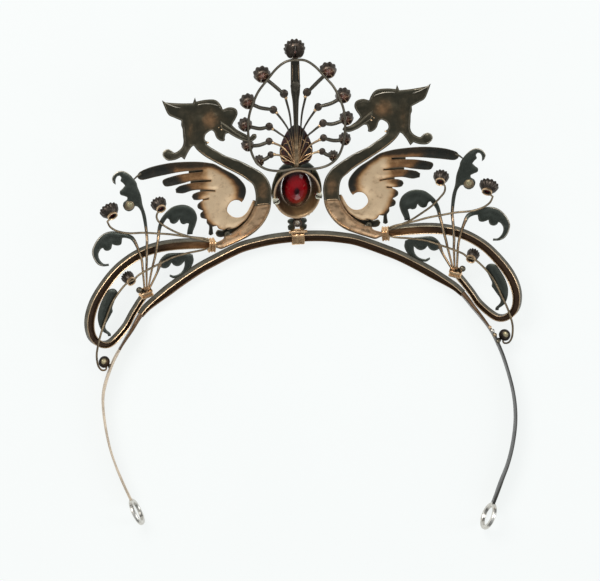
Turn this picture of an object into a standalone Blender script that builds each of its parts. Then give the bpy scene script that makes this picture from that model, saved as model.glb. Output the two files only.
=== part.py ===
"""A tiara of silver and gold: two winged dragons on a scrolled rail, an oval
centre stone, an enamelled palmette and a fan of small stones behind a wire ring.

It stands as it would by itself, on the lower edge of its arch. X runs to the
right as the back of the ornament is seen, Y from the ends of the legs to the top
of the fan, and Z upwards from the floor, with the origin under the middle. The
arch lies flat, and all the ornament flares outwards and upwards from it on one
curved surface.
"""
import math

import bmesh
import bpy
from mathutils import Matrix, Vector

MM = 0.001

# Arch and flare
HEAD_WIDTH = 145.0 * MM
FLARE = math.radians(31.0)
GAP = 0.35 * MM

# Base rail: a channel that is open to the back
RAIL_WIDTH = 2.75 * MM
RAIL_DEPTH = 3.0 * MM
RAIL_WALL = 0.5 * MM

# Legs: flat strips that stand on edge, each with a flat ring at its end
LEG_THICKNESS = 1.1 * MM
LEG_DEPTH = 8.0 * MM
END_RING_DIAMETER = 10.0 * MM
END_RING_HOLE = 6.8 * MM
END_RING_THICKNESS = 1.3 * MM
END_RING_TILT = math.radians(15.0)

# Scroll loops and their ties
LOOP_WIDTH = 2.5 * MM
LOOP_DEPTH = 2.4 * MM
LOOP_WALL = 0.45 * MM
TIE_WALL = 0.4 * MM
CENTRE_TIE_LENGTH = 5.6 * MM
UPPER_TIE_LENGTH = 2.6 * MM
LOWER_TIE_LENGTH = 2.5 * MM

# Sheet metal
DRAGON_THICKNESS = 1.0 * MM
WING_THICKNESS = 0.65 * MM
LEAF_THICKNESS = 0.8 * MM
PALMETTE_THICKNESS = 0.8 * MM
CENTRE_BAR_THICKNESS = 0.8 * MM

# Wires
FLOWER_WIRE = 0.75 * MM
OVAL_WIRE = 0.9 * MM
STEM_WIRE = 0.6 * MM
FAN_BAR_WIRE = 1.1 * MM
SCROLL_BALL = 4.0 * MM

# Settings
SETTING_BACK = 0.9 * MM
SETTING_FRONT = 1.6 * MM
FLOWER_DEPTH = 3.6 * MM
CENTRE_WIDTH = 16.6 * MM
CENTRE_HEIGHT = 20.0 * MM
CENTRE_DEPTH = 4.4 * MM
CENTRE_WALL = 0.9 * MM
CENTRE_STONE_SEAT = 3.2 * MM
HALO_WIDTH = 0.5 * MM
SCREW_DIAMETER = 2.2 * MM
LINK_SETTING_DIAMETER = 3.4 * MM
LINK_GAP = 0.55 * MM
CENTRE_STONE_DEPTH = 2.6 * MM

# One square of the drawing that lays the ornament out
SQUARE = HEAD_WIDTH / 145.0

# The arch in squares of the drawing
ARCH_RISE = 61.6
ARCH_HALF = 72.5
ARCH_SHAPE = 2.6

# Heights that follow from the sizes above
RAIL_REST = (
    (RAIL_WIDTH / 2 + GAP + TIE_WALL) * math.sin(FLARE)
    + (RAIL_DEPTH / 2 + GAP + TIE_WALL) * math.cos(FLARE)
)
LOOP_TOP = LOOP_DEPTH / 2 * math.cos(FLARE) + LOOP_WIDTH / 2 * math.sin(FLARE)
OVER_LOOP = LOOP_TOP + GAP
LEAF_TOP = LEAF_THICKNESS + 0.1 * MM
OVER_LEAF = LEAF_TOP + GAP + FLOWER_WIRE * 0.6
OVER_LEAF_AND_LOOP = OVER_LOOP + LEAF_THICKNESS + GAP + FLOWER_WIRE * 0.6
RING_HEIGHT = (SETTING_BACK + GAP + OVAL_WIRE / 2) / math.cos(FLARE)

# Outlines and routes in squares of the drawing, columns (x, y)
RAIL = [
    (0, 0.6), (5, 0.5), (10, 0.1), (15, -0.7), (20, -1.8), (25, -3.7), (30, -5.9), (35, -8.2),
    (40, -11), (45, -14.1), (50, -17.4), (54.5, -20.6), (57.3, -23.3),
]

# The rail's width narrows to its ends, columns (x, share)
RAIL_TAPER = [(48, 1.0), (57, 0.62)]

# Columns (x, y, share of the loop's width)
LOOP = [
    (31.1, -0.2, 1), (35, 0.2, 1), (40, 0.4, 1), (45, 0.4, 1), (50, 0, 1), (55, -1.1, 1),
    (60, -3.4, 1), (65, -7, 1), (69.7, -12, 1), (73.2, -17, 1), (75.2, -22, 1), (75.6, -26.3, 1),
    (74.6, -30, 1), (72, -32.4, 0.9), (69, -32.6, 0.8), (65.9, -30.4, 0.72), (62.5, -26.8, 0.72),
    (60.1, -22.9, 0.72), (57.6, -19.3, 0.72), (55.9, -17, 0.72), (55, -15.3, 0.72),
]

RIGHT_LEG = [
    (58.7, -25.4), (60.4, -28), (63, -31.7), (65.2, -35), (67.2, -38.5), (68.8, -42.5),
    (70.3, -47), (72, -54), (73, -60), (73.3, -66), (72.8, -72), (71.3, -79), (69.3, -85),
    (67, -90), (64.6, -95.5),
]
RIGHT_RING = (61.3, -102.6)
LEFT_LEG = [
    (58.7, -25.4), (60.4, -28), (63.1, -31.7), (65.4, -35), (68, -39.3), (70.5, -45),
    (72, -50), (72.4, -55), (72, -62), (71, -69), (69.5, -75), (67.5, -81), (65.6, -86),
]
LEFT_RING = (63, -92.4)

DRAGON = [
    (9.2, 14.2), (9.2, 17.5), (10.2, 20.9), (12.5, 23.5), (15, 25), (20, 28), (25, 30),
    (27.5, 31.5), (30, 33.2), (31.7, 34.7), (30.6, 35.6), (31.8, 36.5), (32, 37.5), (31.5, 38.7),
    (30, 39.7), (29.2, 39.7), (28.6, 39), (28, 37.3), (26.9, 36.2), (25.6, 35.8), (24.9, 36.2),
    (25, 37), (24.6, 38.3), (23.5, 38.4), (21.5, 37.2), (19.5, 36.6), (17.6, 36.4), (16.6, 36.9),
    (17.5, 37.7), (18.9, 38.5), (20.9, 39.8), (22.3, 41.2), (21.7, 42.3), (20.9, 43.5),
    (20.3, 45), (20.6, 46.4), (21.7, 47.2), (23.5, 47.4), (25.4, 46.8), (26, 48.2), (27, 49.6),
    (28.5, 50.4), (31.5, 50.5), (34.6, 50.1), (35, 51.5), (35.8, 49.6), (40, 49.8), (45, 50.4),
    (46.5, 51.2), (45.9, 49.4), (44.5, 46.2), (42.5, 45), (40, 43.8), (40.1, 42.2), (39.7, 41),
    (39.6, 38.5), (39.5, 36.5), (40, 34.9), (41.2, 33.7), (42.8, 33), (44, 33.9), (45.4, 34.3),
    (46.7, 33.6), (47, 32.5), (46.4, 31.2), (45, 30.3), (42.5, 30.5), (40.5, 31.3), (39.4, 30.3),
    (38.9, 31.2), (38, 32.8), (36.8, 34.4), (36, 35), (34.7, 33.2), (32.5, 31.2), (30, 29.5),
    (25, 26.5), (20, 23.6), (17.6, 21.8), (15.6, 20), (14.8, 17.2), (14.8, 14.2), (15.7, 11.3),
    (17.2, 8.4), (19.1, 6.3), (21.3, 4.6), (24, 2.9), (24.2, 3.9), (25, 4.2), (26, 3.6),
    (26.4, 1.7), (28.4, 0.7), (30.5, 0.3), (30.5, -0.9), (28.9, -1.5), (27.2, -2), (25, -1.3),
    (22, -0.2), (19.8, 0.7), (17.2, 1.9), (14.3, 3.9), (11.7, 6.8), (9.8, 10.5),
]

# Height of the dragon over the surface, columns (y, height); the neck rides over the wing
DRAGON_LIFT = [(2.2, -0.7), (6, 0.8), (30, 0.8), (35.5, -0.5), (60, -0.5)]

WING = [
    (30.5, 28.6), (34.6, 29.3), (40.5, 29.6), (45.7, 29.4), (51.3, 28.5), (55, 27.2), (56, 26.1),
    (55.8, 24.8), (54.3, 24.2), (49.4, 25), (42, 26), (36.5, 26.3), (33.1, 26.3), (33.1, 25.8),
    (40.2, 25.4), (44.3, 24.7), (46.9, 23.9), (47.4, 22.9), (46.5, 21.5), (44.6, 21.4),
    (40.2, 22.1), (36.5, 22.8), (30.2, 22.6), (30.2, 22.1), (36.5, 22.1), (41.3, 21.3),
    (42.9, 20.3), (42.7, 18.9), (40.2, 18.6), (36.5, 19.4), (31.7, 19.3), (28.9, 18.9), (28.9, 18.5),
    (33.9, 18.9), (36.6, 18.2), (37.2, 17.2), (36.5, 16.1), (34.6, 15.9), (31.3, 16.4), (31.3, 15.9),
    (33.5, 15.6), (35.2, 14.4), (35.1, 13), (33.4, 12), (34.4, 11), (34.1, 9.6), (32.2, 8.9),
    (32.2, 7.6), (31.4, 6.4), (31.7, 3.6), (30.9, 3.1), (30, 3.6), (30.2, 6.1), (28.7, 6.4),
    (27.9, 5.2), (26.3, 4.8), (24.4, 5.4), (22.8, 5.1), (20.6, 6.2), (18, 8.2), (15.8, 11.8),
    (15.1, 14.2), (15.7, 14.3), (16.9, 12), (18, 10.3), (19.8, 9), (22, 8.9), (23.6, 9.7),
    (24.8, 11.2), (24.6, 12.9), (23.5, 14.4), (22, 15), (20.6, 14.8), (19.6, 14.1), (18.7, 15.3),
    (18, 17.6), (18.3, 19.8), (19.8, 22), (22, 24), (25.7, 26.2), (28.6, 28),
]

CREST_LEAF = [
    (53.6, -13.4), (53.5, -8), (53.3, -0.5), (53, 4), (53.3, 9), (53.8, 12.2), (54.7, 15.5),
    (55.2, 19), (56.2, 22), (56.6, 23.6), (58, 25.5), (60, 27.3), (62, 27.8), (64, 27), (65, 25.5),
    (64.7, 24), (63.8, 23.2), (63.8, 24.8), (63.2, 26), (62.3, 26.2), (61.8, 25.5), (62.1, 24.4),
    (61.3, 23.6), (60.6, 22.7), (61.5, 21.7), (62.5, 20.8), (62.3, 19.6), (61.1, 19.1),
    (60, 18.6), (60.1, 17.8), (61.3, 16.9), (61.6, 15.6), (60.9, 14.2), (59.5, 13.6), (58.1, 14.2),
    (57.4, 15.3), (56.5, 15), (55.5, 13.3), (54.9, 9), (54.5, 4), (54.8, -0.5), (54.8, -8),
    (54.8, -13.4),
]
INNER_LEAF = [
    (53.2, -12.9), (52.6, -7.3), (51.4, -2.4), (50.4, 2.6), (49.7, 7.1), (48.9, 9.4), (47.8, 11.1),
    (46, 12.9), (44, 14.2), (41, 14.7), (38.5, 14.1), (36.5, 12.5), (35.6, 10), (36.1, 7.5),
    (37.2, 5), (37.4, 4), (39.4, 4), (39.2, 5.5), (38.6, 7.8), (39.3, 8), (40.3, 7.7), (41.4, 8.2),
    (41.9, 9.6), (42.6, 8.7), (43.8, 8.1), (45, 8.5), (45.6, 9.8), (46.3, 10.2), (47.4, 8.7),
    (48.3, 6.9), (49.1, 2.4), (50.1, -2.6), (51.3, -7.5), (52, -12.9),
]
OUTER_LEAF = [
    (55.3, -12.9), (55.2, -8), (55.4, -4), (56.2, -1), (57, 1.7), (57.9, 3.9), (59.2, 5.3),
    (63, 6.4), (66, 7.1), (69, 6.4), (71.5, 4.2), (73.2, 1), (73, -1.6), (71.7, -4), (69.8, -5),
    (67.5, -5), (67.6, -4.2), (69.3, -4.1), (70.7, -2.5), (71, -0.5), (70, 1.2), (69.3, 1.4),
    (68.9, 0.7), (67.8, 0.3), (66.5, 0.9), (66, 2.5), (65.1, 2.1), (63.9, 1.9), (62.8, 2.4),
    (62.4, 4.4), (61.3, 4.4), (59.6, 3.6), (58.5, 1.3), (57.6, -1.2), (56.7, -4.1), (56.4, -8),
    (56.4, -12.7),
]
RAIL_LEAF = [
    (37.6, -3.2), (40, -2.4), (43, -2.2), (46.6, -2.2), (48.7, -3.5), (50.1, -5.7), (50.7, -8),
    (51, -10), (51.4, -12.9), (50.4, -12.9), (49.9, -10), (49.5, -8), (49.2, -6.5), (48.4, -7.3),
    (47.2, -7.4), (46, -6.7), (45.3, -5.6), (44.4, -6.6), (43, -7), (41.7, -6.5), (40.6, -5.4),
    (40.7, -7), (41.4, -8.6), (42.7, -9.7), (44.5, -10.2), (46, -9.7), (46.2, -10.4), (44.7, -11.2),
    (42.7, -10.7), (41.2, -9.9), (39.9, -9.1), (38.8, -8.3), (37.9, -7), (37.3, -5.2),
]
LOOP_LEAF = [
    (65.1, -13.3), (68, -13.5), (69.8, -15.6), (71.4, -18.6), (72.4, -22), (72.3, -25),
    (71.5, -27.3), (70.5, -28.4), (69.3, -29.2), (69.2, -29.9), (68.1, -29.9), (68.2, -28.9),
    (69.5, -27.6), (69.9, -26.6), (69.6, -25.4), (68.7, -24), (67.6, -22.2), (67, -21.2),
    (67.1, -19.9), (66.6, -18.6), (65.7, -16.6), (64.9, -14.8),
]

# Height of the stemmed leaves over the surface, columns (y, share of the way over the loop)
STEM_LIFT = [(-6.6, 0), (-4, 1), (2.8, 1), (5.4, 0)]
# The heads beside the stems stay low, columns (x, share)
STEM_REACH = [(46, 0), (48.5, 1), (58.5, 1), (62, 0)]

# Flower wires, columns (x, y, what the wire clears: 0 nothing, 1 a leaf, 2 a leaf on the loop)
TALL_WIRE = [
    (32.9, 2.3, 0.6), (37, 2.9, 1), (41, 3.6, 1.1), (45, 4.5, 1.3), (50, 5.2, 1.4),
    (55, 5.8, 1.4), (60, 6, 1.4), (64, 7, 1.2), (66.4, 8.6, 1), (67.4, 10.6, 1),
]
SHORT_WIRE = [
    (36.5, 2.8, 1), (39.6, 4.1, 1.1), (43.2, 6.3, 1.2), (46.6, 8.6, 1.2), (49.3, 11.2, 1.1),
    (51, 13.3, 0.9), (51.2, 15.3, 0.8),
]
LOW_WIRE = [
    (34, -1.8, 1.45), (40, -2.6, 1.2), (45, -3.7, 1.1), (50, -5.7, 1.35), (54, -7.4, 1.35),
    (57.2, -9, 1.2), (59, -10.5, 1.1), (61.6, -11.6, 1), (65, -15.2, 1), (67.6, -19, 1),
    (70, -24.5, 1.1), (71.8, -29, 1.4), (73, -33, 1.45), (73.6, -36.3, 0.9), (73.3, -39.8, 0.4),
    (72.2, -41.6, 0.2), (70.9, -41.8, 0.1), (70.4, -41.3, 0), (70.3, -40, 0),
]
SCROLL_BALL_AT = (71, -38.9)

# Flower settings, columns (x, y of the back, back radius, x, y of the front, front radius, height)
FLOWERS = {
    "tall": (65.4, 12.3, 1.3, 66.2, 14.4, 3.3, 1.0),
    "short": (49.6, 16.8, 1.2, 49.9, 18.1, 2.7, 0.8),
    "low": (59.8, -11.2, 1.2, 60.8, -9.7, 2.2, 1.1),
}

# On the left the shorter flower is bent lower and the taller one inwards
LEFT_SHORT_WIRE = [
    (36.5, 2.8, 1), (39.6, 3.6, 1.1), (43, 5, 1.2), (46.4, 7, 1.2), (49.2, 9.2, 1.1),
    (50, 10.9, 0.9), (49.6, 12.4, 0.8),
]
LEFT_SHORT_FLOWER = (48.2, 13.6, 1.2, 48.6, 15, 2.7, 0.8)

# Wall of a small setting as a share of its radius
SETTING_WALL = 0.21

# The fan, columns (x, y, setting radius, bud x, bud y, bud radius, bar route, stem route)
FAN = [
    (11.4, 57.4, 3.0, 4.0, 50.9, 1.5, [(4.3, 51), (7.3, 53.8)], [(1.6, 38.5), (2.2, 44), (3.7, 50.2)]),
    (16.5, 48.5, 2.8, 7.8, 45.6, 1.4, [(8.1, 45.7), (12.1, 46.5)], [(2.4, 37.5), (4.2, 41), (7, 44.8)]),
    (17.6, 40.6, 2.5, 9.4, 39.9, 1.4, [(9.7, 39.8), (12.6, 39.4)], [(3.4, 35), (6.2, 37.6), (8.6, 39.3)]),
    (16.9, 33.5, 2.2, 9.5, 34.8, 1.3, [(9.8, 34.6), (12.8, 33.7)], [(3.8, 31.5), (5.6, 33), (8.6, 34.4)]),
    (12.9, 27.9, 1.8, 9.0, 30.1, 1.2, [(9.2, 29.9), (10.4, 29)], [(3.2, 27.9), (5.6, 29.6), (8.2, 30.1)]),
]
FAN_FOOT = (0, 25.9)
FINIAL = (0, 65.3, 3.7)
CENTRE_BUD = (0, 53.3, 2.2)
CENTRE_BAR = [(1.5, 62.6), (1.6, 52), (1.1, 48), (0.8, 40), (0.7, 25.4)]

# Egg shaped ring, from its top round to its foot, columns (x, y)
OVAL = [
    (0, 62.1), (3.4, 61.7), (6.7, 59.5), (10, 55.8), (13, 52.2), (15, 48.2), (16.4, 44.2), (16.9, 39.5),
    (16.6, 34.8), (15.6, 30.5), (13.8, 27.3), (10.9, 25.2), (7, 24.3), (3, 24.5), (0, 24.9),
]
PALMETTE = [
    (0, 40.4), (1.8, 39.2), (3.3, 37.6), (4.7, 35), (5.7, 32), (5.7, 29.4), (4.9, 27.3), (3.4, 26.2), (0, 25.8),
]
CENTRE_AT = (0, 16)
SCREW_AT = (7.4, 14.8)
UPPER_TIE_AT = (30.9, -0.3)
LOWER_TIE_AT = (54.9, -15.6)
UPPER_TIE_TURN = math.radians(31)
LOWER_TIE_TURN = math.radians(12)


def blended(table, at):
    """Reads a table of (place, value) rows at any place between them."""
    if at <= table[0][0]:
        return table[0][1]
    for (a, va), (b, vb) in zip(table, table[1:]):
        if at <= b:
            return va + (vb - va) * (at - a) / (b - a)
    return table[-1][1]


def surface(x, y):
    """Height of the flared surface over a point of the drawing, in metres."""
    up = y + ARCH_RISE - 0.6
    reach = math.hypot(x, up)
    across = max(0.0, abs(x) / reach) if up > 0 else 1.0
    arch = ARCH_RISE + (ARCH_HALF - ARCH_RISE) * across ** ARCH_SHAPE
    return RAIL_REST + math.tan(FLARE) * (reach - arch) * SQUARE


def point(x, y, height=0.0):
    """A point of the drawing in space, raised by a height in metres."""
    return Vector((x * SQUARE, y * SQUARE, surface(x, y) + height))


def normal(x, y):
    """The surface's direction towards the back of the ornament."""
    step = 0.5
    along_x = point(x + step, y) - point(x - step, y)
    along_y = point(x, y + step) - point(x, y - step)
    return along_x.cross(along_y).normalized()


def standing(x, y, height=0.0):
    """A frame on the surface: X along the arch, Y outwards, Z to the back."""
    up = normal(x, y)
    outward = Vector((x, y + ARCH_RISE, 0)).normalized()
    side = outward.cross(up).normalized()
    outward = up.cross(side)
    turn = Matrix((side, outward, up)).transposed().to_4x4()
    return Matrix.Translation(point(x, y, height)) @ turn


def side_point(side, x, y):
    return side * x, y


def clear_scene():
    for old in list(bpy.data.objects):
        bpy.data.objects.remove(old, do_unlink=True)


def material(name, color, rough, metal):
    made = bpy.data.materials.new(name)
    made.use_nodes = True
    shader = made.node_tree.nodes["Principled BSDF"]
    shader.inputs["Base Color"].default_value = (*color, 1)
    shader.inputs["Roughness"].default_value = rough
    shader.inputs["Metallic"].default_value = metal
    return made


def add_object(name, data):
    made = bpy.data.objects.new(name, data)
    bpy.context.scene.collection.objects.link(made)
    return made


def bm_object(name, bm):
    mesh = bpy.data.meshes.new(name)
    bmesh.ops.recalc_face_normals(bm, faces=bm.faces)
    bm.to_mesh(mesh)
    bm.free()
    return add_object(name, mesh)


def meshed(source):
    """Turns a curve, or an object with modifiers, into a plain mesh with welded caps."""
    graph = bpy.context.evaluated_depsgraph_get()
    mesh = bpy.data.meshes.new_from_object(source.evaluated_get(graph))
    bm = bmesh.new()
    bm.from_mesh(mesh)
    bmesh.ops.remove_doubles(bm, verts=bm.verts, dist=0.000005)
    bmesh.ops.recalc_face_normals(bm, faces=bm.faces)
    bm.to_mesh(mesh)
    bm.free()
    made = add_object(source.name + "_mesh", mesh)
    made.matrix_world = source.matrix_world
    bpy.data.objects.remove(source, do_unlink=True)
    return made


def fused(name, parts):
    """Joins parts that touch into one solid."""
    body = parts[0]
    for other in parts[1:]:
        union = body.modifiers.new("union", "BOOLEAN")
        union.operation = "UNION"
        union.solver = "EXACT"
        union.object = other
        joined = meshed(body)
        bpy.data.objects.remove(other, do_unlink=True)
        body = joined
    body.name = name
    return body


def plate(name, outline, thickness, height, side=1, cell=12.0):
    """Sheet metal cut to an outline of the drawing and bent on to the surface.

    height gives the lower face's height over the surface at (x, y).
    """
    curve = bpy.data.curves.new(name, "CURVE")
    curve.dimensions = "2D"
    curve.fill_mode = "BOTH"
    curve.extrude = 0.5
    line = curve.splines.new("POLY")
    line.points.add(len(outline) - 1)
    for spot, (x, y) in zip(line.points, outline):
        spot.co = (side * x, y, 0, 1)
    line.use_cyclic_u = True
    flat = meshed(add_object(name, curve))
    bm = bmesh.new()
    bm.from_mesh(flat.data)
    xs = [vert.co.x for vert in bm.verts]
    ys = [vert.co.y for vert in bm.verts]
    for low, high, way in ((min(xs), max(xs), Vector((1, 0, 0))), (min(ys), max(ys), Vector((0, 1, 0)))):
        count = int((high - low) / cell)
        for step in range(1, count + 1):
            at = low + (high - low) * step / (count + 1)
            parts = bm.verts[:] + bm.edges[:] + bm.faces[:]
            bmesh.ops.bisect_plane(bm, geom=parts, plane_co=way * at, plane_no=way, dist=0.02)
    bmesh.ops.triangulate(bm, faces=bm.faces)
    for vert in bm.verts:
        x, y, upper = vert.co
        raised = height(abs(x), y) + (thickness if upper > 0 else 0.0)
        vert.co = point(x, y, raised)
    bmesh.ops.recalc_face_normals(bm, faces=bm.faces)
    bm.to_mesh(flat.data)
    bm.free()
    flat.name = name
    return flat


def loft(name, rings, closed=False):
    """Joins rings of points, each as long as the next, into one skin with flat ends."""
    bm = bmesh.new()
    rows = [[bm.verts.new(spot) for spot in ring] for ring in rings]
    count = len(rings[0])
    pairs = list(zip(rows, rows[1:]))
    if closed:
        pairs.append((rows[-1], rows[0]))
    for one, two in pairs:
        for k in range(count):
            n = (k + 1) % count
            bm.faces.new((one[k], one[n], two[n], two[k]))
    if not closed:
        bm.faces.new(rows[0])
        bm.faces.new(rows[-1])
        bmesh.ops.triangulate(bm, faces=[face for face in bm.faces if len(face.verts) > 4])
    return bm_object(name, bm)


def channel(name, route, widths, depth, wall, side=1):
    """A channel swept along a route of the surface, open to the back."""
    spots = [point(side * x, y) for x, y in route]
    rings = []
    for k, (spot, (x, y), width) in enumerate(zip(spots, route, widths)):
        along = (spots[min(k + 1, len(spots) - 1)] - spots[max(k - 1, 0)]).normalized()
        up = normal(side * x, y)
        across = along.cross(up).normalized()
        up = across.cross(along)
        half = width / 2
        profile = [
            (-half, -depth / 2), (half, -depth / 2), (half, depth / 2), (half - wall, depth / 2),
            (half - wall, wall - depth / 2), (wall - half, wall - depth / 2),
            (wall - half, depth / 2), (-half, depth / 2),
        ]
        rings.append([spot + across * a + up * b for a, b in profile])
    return loft(name, rings)


def wire(name, spots, diameter, resolution=1, cyclic=False):
    """A round wire through points in space."""
    curve = bpy.data.curves.new(name, "CURVE")
    curve.dimensions = "3D"
    curve.bevel_depth = diameter / 2
    curve.bevel_resolution = resolution
    curve.use_fill_caps = not cyclic
    line = curve.splines.new("POLY")
    line.points.add(len(spots) - 1)
    for spot, co in zip(line.points, spots):
        spot.co = (*co, 1)
    line.use_cyclic_u = cyclic
    return meshed(add_object(name, curve))


def collet(name, back, front, back_radius, front_radius, wall, teeth, turn):
    """A hollow toothed cup between two points, wide at the front and open at both ends."""
    rows = [
        (back, back_radius, back_radius),
        (front, front_radius, front_radius * 0.84),
        (front, front_radius * 0.84 - wall, front_radius * 0.84 - wall),
        (back, back_radius - wall, back_radius - wall),
    ]
    axis = (back - front).normalized()
    side = turn.cross(axis).normalized()
    up = axis.cross(side)
    rings = []
    for centre, tip, valley in rows:
        ring = []
        for k in range(teeth * 2):
            angle = math.pi * k / teeth
            reach = tip if k % 2 == 0 else valley
            ring.append(centre + side * (reach * math.cos(angle)) + up * (reach * math.sin(angle)))
        rings.append(ring)
    return loft(name, rings, closed=True)


def stone(name, girdle, culet, radius, table, sides, turn, stretch=1.0):
    """A cut stone: a table, a crown, a thin girdle and a pavilion that ends in a point."""
    axis = (culet - girdle).normalized()
    side = turn.cross(axis).normalized()
    up = axis.cross(side)
    depth = (culet - girdle).length
    bm = bmesh.new()
    rows = []
    for reach, level in ((table, -depth * 0.45), (1.0, -depth * 0.08), (1.0, depth * 0.08), (0.42, depth * 0.72)):
        row = []
        for k in range(sides):
            angle = 2 * math.pi * (k + 0.5) / sides
            spot = side * (radius * reach * math.cos(angle)) + up * (radius * reach * stretch * math.sin(angle))
            row.append(bm.verts.new(girdle + spot + axis * level))
        rows.append(row)
    for one, two in zip(rows, rows[1:]):
        for k in range(sides):
            n = (k + 1) % sides
            bm.faces.new((one[k], one[n], two[n], two[k]))
    bm.faces.new(rows[0])
    point_vert = bm.verts.new(culet)
    for k in range(sides):
        bm.faces.new((rows[-1][k], rows[-1][(k + 1) % sides], point_vert))
    return bm_object(name, bm)


def sleeve(name, frame, length, width, depth, wall):
    """A tie: a short box tube that wraps what passes through it along its X axis."""
    rings = []
    for extra in (0.0, wall):
        for end in (-0.5, 0.5):
            half_w, half_d = width / 2 + extra, depth / 2 + extra
            ring = [(-half_w, -half_d), (half_w, -half_d), (half_w, half_d), (-half_w, half_d)]
            rings.append([frame @ Vector((end * length, a, b)) for a, b in ring])
    return loft(name, [rings[0], rings[1], rings[3], rings[2]], closed=True)


def turned_frame(x, y, angle):
    return standing(x, y) @ Matrix.Rotation(angle, 4, "Z")


def smooth(made):
    made.data.shade_smooth()
    made.data.set_sharp_from_angle(angle=math.radians(35))


def build():
    clear_scene()
    silver = material("oxidised_silver", (0.065, 0.06, 0.05), 0.38, 1.0)
    worn_silver = material("worn_silver", (0.22, 0.2, 0.17), 0.34, 1.0)
    gold = material("red_gold", (0.62, 0.36, 0.2), 0.3, 1.0)
    wing_metal = material("mottled_gilding", (0.45, 0.31, 0.18), 0.4, 1.0)
    enamel = material("red_enamel", (0.1, 0.012, 0.01), 0.16, 0.0)
    garnet = material("garnet", (0.25, 0.008, 0.012), 0.06, 0.0)
    small_stones = material("small_stones", (0.22, 0.1, 0.06), 0.1, 0.0)
    pale_stone = material("pale_stone", (0.6, 0.56, 0.5), 0.1, 0.0)
    pieces = []

    def keep(made, looks, name):
        made.name = name
        made.data.materials.clear()
        made.data.materials.append(looks)
        pieces.append(made)
        return made

    # Base rail, from the left end over the middle to the right end
    half = [(-x, y) for x, y in RAIL[:0:-1]]
    route = half + RAIL
    widths = [RAIL_WIDTH * blended(RAIL_TAPER, abs(x)) for x, y in route]
    keep(channel("rail", route, widths, RAIL_DEPTH, RAIL_WALL), silver, "base_rail")
    across = RAIL_WIDTH + 2 * GAP
    through = RAIL_DEPTH + 2 * GAP
    frame = turned_frame(0, 0.6, 0)
    keep(sleeve("tie", frame, CENTRE_TIE_LENGTH, across, through, TIE_WALL), gold, "centre_tie")

    for side, word in ((1, "right"), (-1, "left")):
        # Leg: a strip on edge with a flat ring soldered to its end
        leg, ring_at = (RIGHT_LEG, RIGHT_RING) if side > 0 else (LEFT_LEG, LEFT_RING)
        rest = END_RING_DIAMETER / 2 * math.cos(END_RING_TILT) + END_RING_THICKNESS / 2 * math.sin(END_RING_TILT)
        centre = Vector((side * ring_at[0] * SQUARE, ring_at[1] * SQUARE, rest))
        spots = [Vector((side * x * SQUARE, y * SQUARE, 0)) for x, y in leg]
        inward = (Vector((centre.x, centre.y, 0)) - spots[-1]).normalized()
        spots.append(Vector((centre.x, centre.y, 0)) - inward * (END_RING_DIAMETER + END_RING_HOLE) / 4)
        rings = []
        for k, spot in enumerate(spots):
            along = (spots[min(k + 1, len(spots) - 1)] - spots[max(k - 1, 0)]).normalized()
            out = Vector((along.y, -along.x, 0)) * (LEG_THICKNESS / 2)
            top = Vector((0, 0, LEG_DEPTH))
            rings.append([spot - out, spot + out, spot + out + top, spot - out + top])
        strip = loft("strip", rings)
        facing = Vector((inward.y, -inward.x, 0)) * side
        tilt = Matrix.Rotation(-END_RING_TILT * side, 3, inward)
        facing = tilt @ facing
        standing_up = tilt @ Vector((0, 0, 1))
        ring_rows = []
        for reach, level in (
            (END_RING_DIAMETER, -1), (END_RING_DIAMETER, 1), (END_RING_HOLE, 1), (END_RING_HOLE, -1)
        ):
            row = []
            for k in range(16):
                angle = 2 * math.pi * (k + 0.5) / 16
                spot = inward * math.cos(angle) + standing_up * math.sin(angle)
                row.append(centre + spot * (reach / 2) + facing * (level * END_RING_THICKNESS / 2))
            ring_rows.append(row)
        washer = loft("washer", ring_rows, closed=True)
        keep(fused("leg", [strip, washer]), worn_silver if side < 0 else silver, "leg_" + word)

        # Scroll loop and its two ties
        route = [(x, y) for x, y, share in LOOP]
        widths = [LOOP_WIDTH * share for x, y, share in LOOP]
        made = channel("loop", route, widths, LOOP_DEPTH, LOOP_WALL, side)
        keep(made, silver, "scroll_loop_" + word)
        across = LOOP_WIDTH + 2 * GAP
        through = LOOP_DEPTH + 2 * GAP
        x, y = UPPER_TIE_AT
        frame = turned_frame(side * x, y, side * UPPER_TIE_TURN)
        keep(sleeve("tie", frame, UPPER_TIE_LENGTH, across, through, TIE_WALL), gold, "upper_tie_" + word)
        x, y = LOWER_TIE_AT
        frame = turned_frame(side * x, y, -side * LOWER_TIE_TURN)
        tie = sleeve("tie", frame, LOWER_TIE_LENGTH, across, through, TIE_WALL)
        keep(tie, gold, "lower_tie_" + word)

        # Dragon and wing
        made = plate("dragon", DRAGON, DRAGON_THICKNESS, lambda x, y: blended(DRAGON_LIFT, y) * MM, side)
        keep(made, wing_metal, "dragon_" + word)
        made = plate("wing", WING, WING_THICKNESS, lambda x, y: -WING_THICKNESS / 2, side)
        keep(made, wing_metal, "wing_" + word)

        # Leaves
        low = 0.1 * MM

        def stem_height(x, y):
            return low + (OVER_LOOP - low) * blended(STEM_LIFT, y) * blended(STEM_REACH, x)

        for name, outline, height in (
            ("crest_leaf", CREST_LEAF, stem_height),
            ("inner_leaf", INNER_LEAF, stem_height),
            ("outer_leaf", OUTER_LEAF, stem_height),
            ("rail_leaf", RAIL_LEAF, lambda x, y: low),
            ("loop_leaf", LOOP_LEAF, lambda x, y: low),
        ):
            made = plate(name, outline, LEAF_THICKNESS, height, side)
            keep(made, silver, name + "_" + word)

        # Flower sprays: wires with hollow toothed settings
        over = [(0, FLOWER_WIRE / 2), (1, OVER_LEAF), (2, OVER_LEAF_AND_LOOP)]

        def run(table):
            return [point(side * x, y, blended(over, clear)) for x, y, clear in table]

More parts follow.
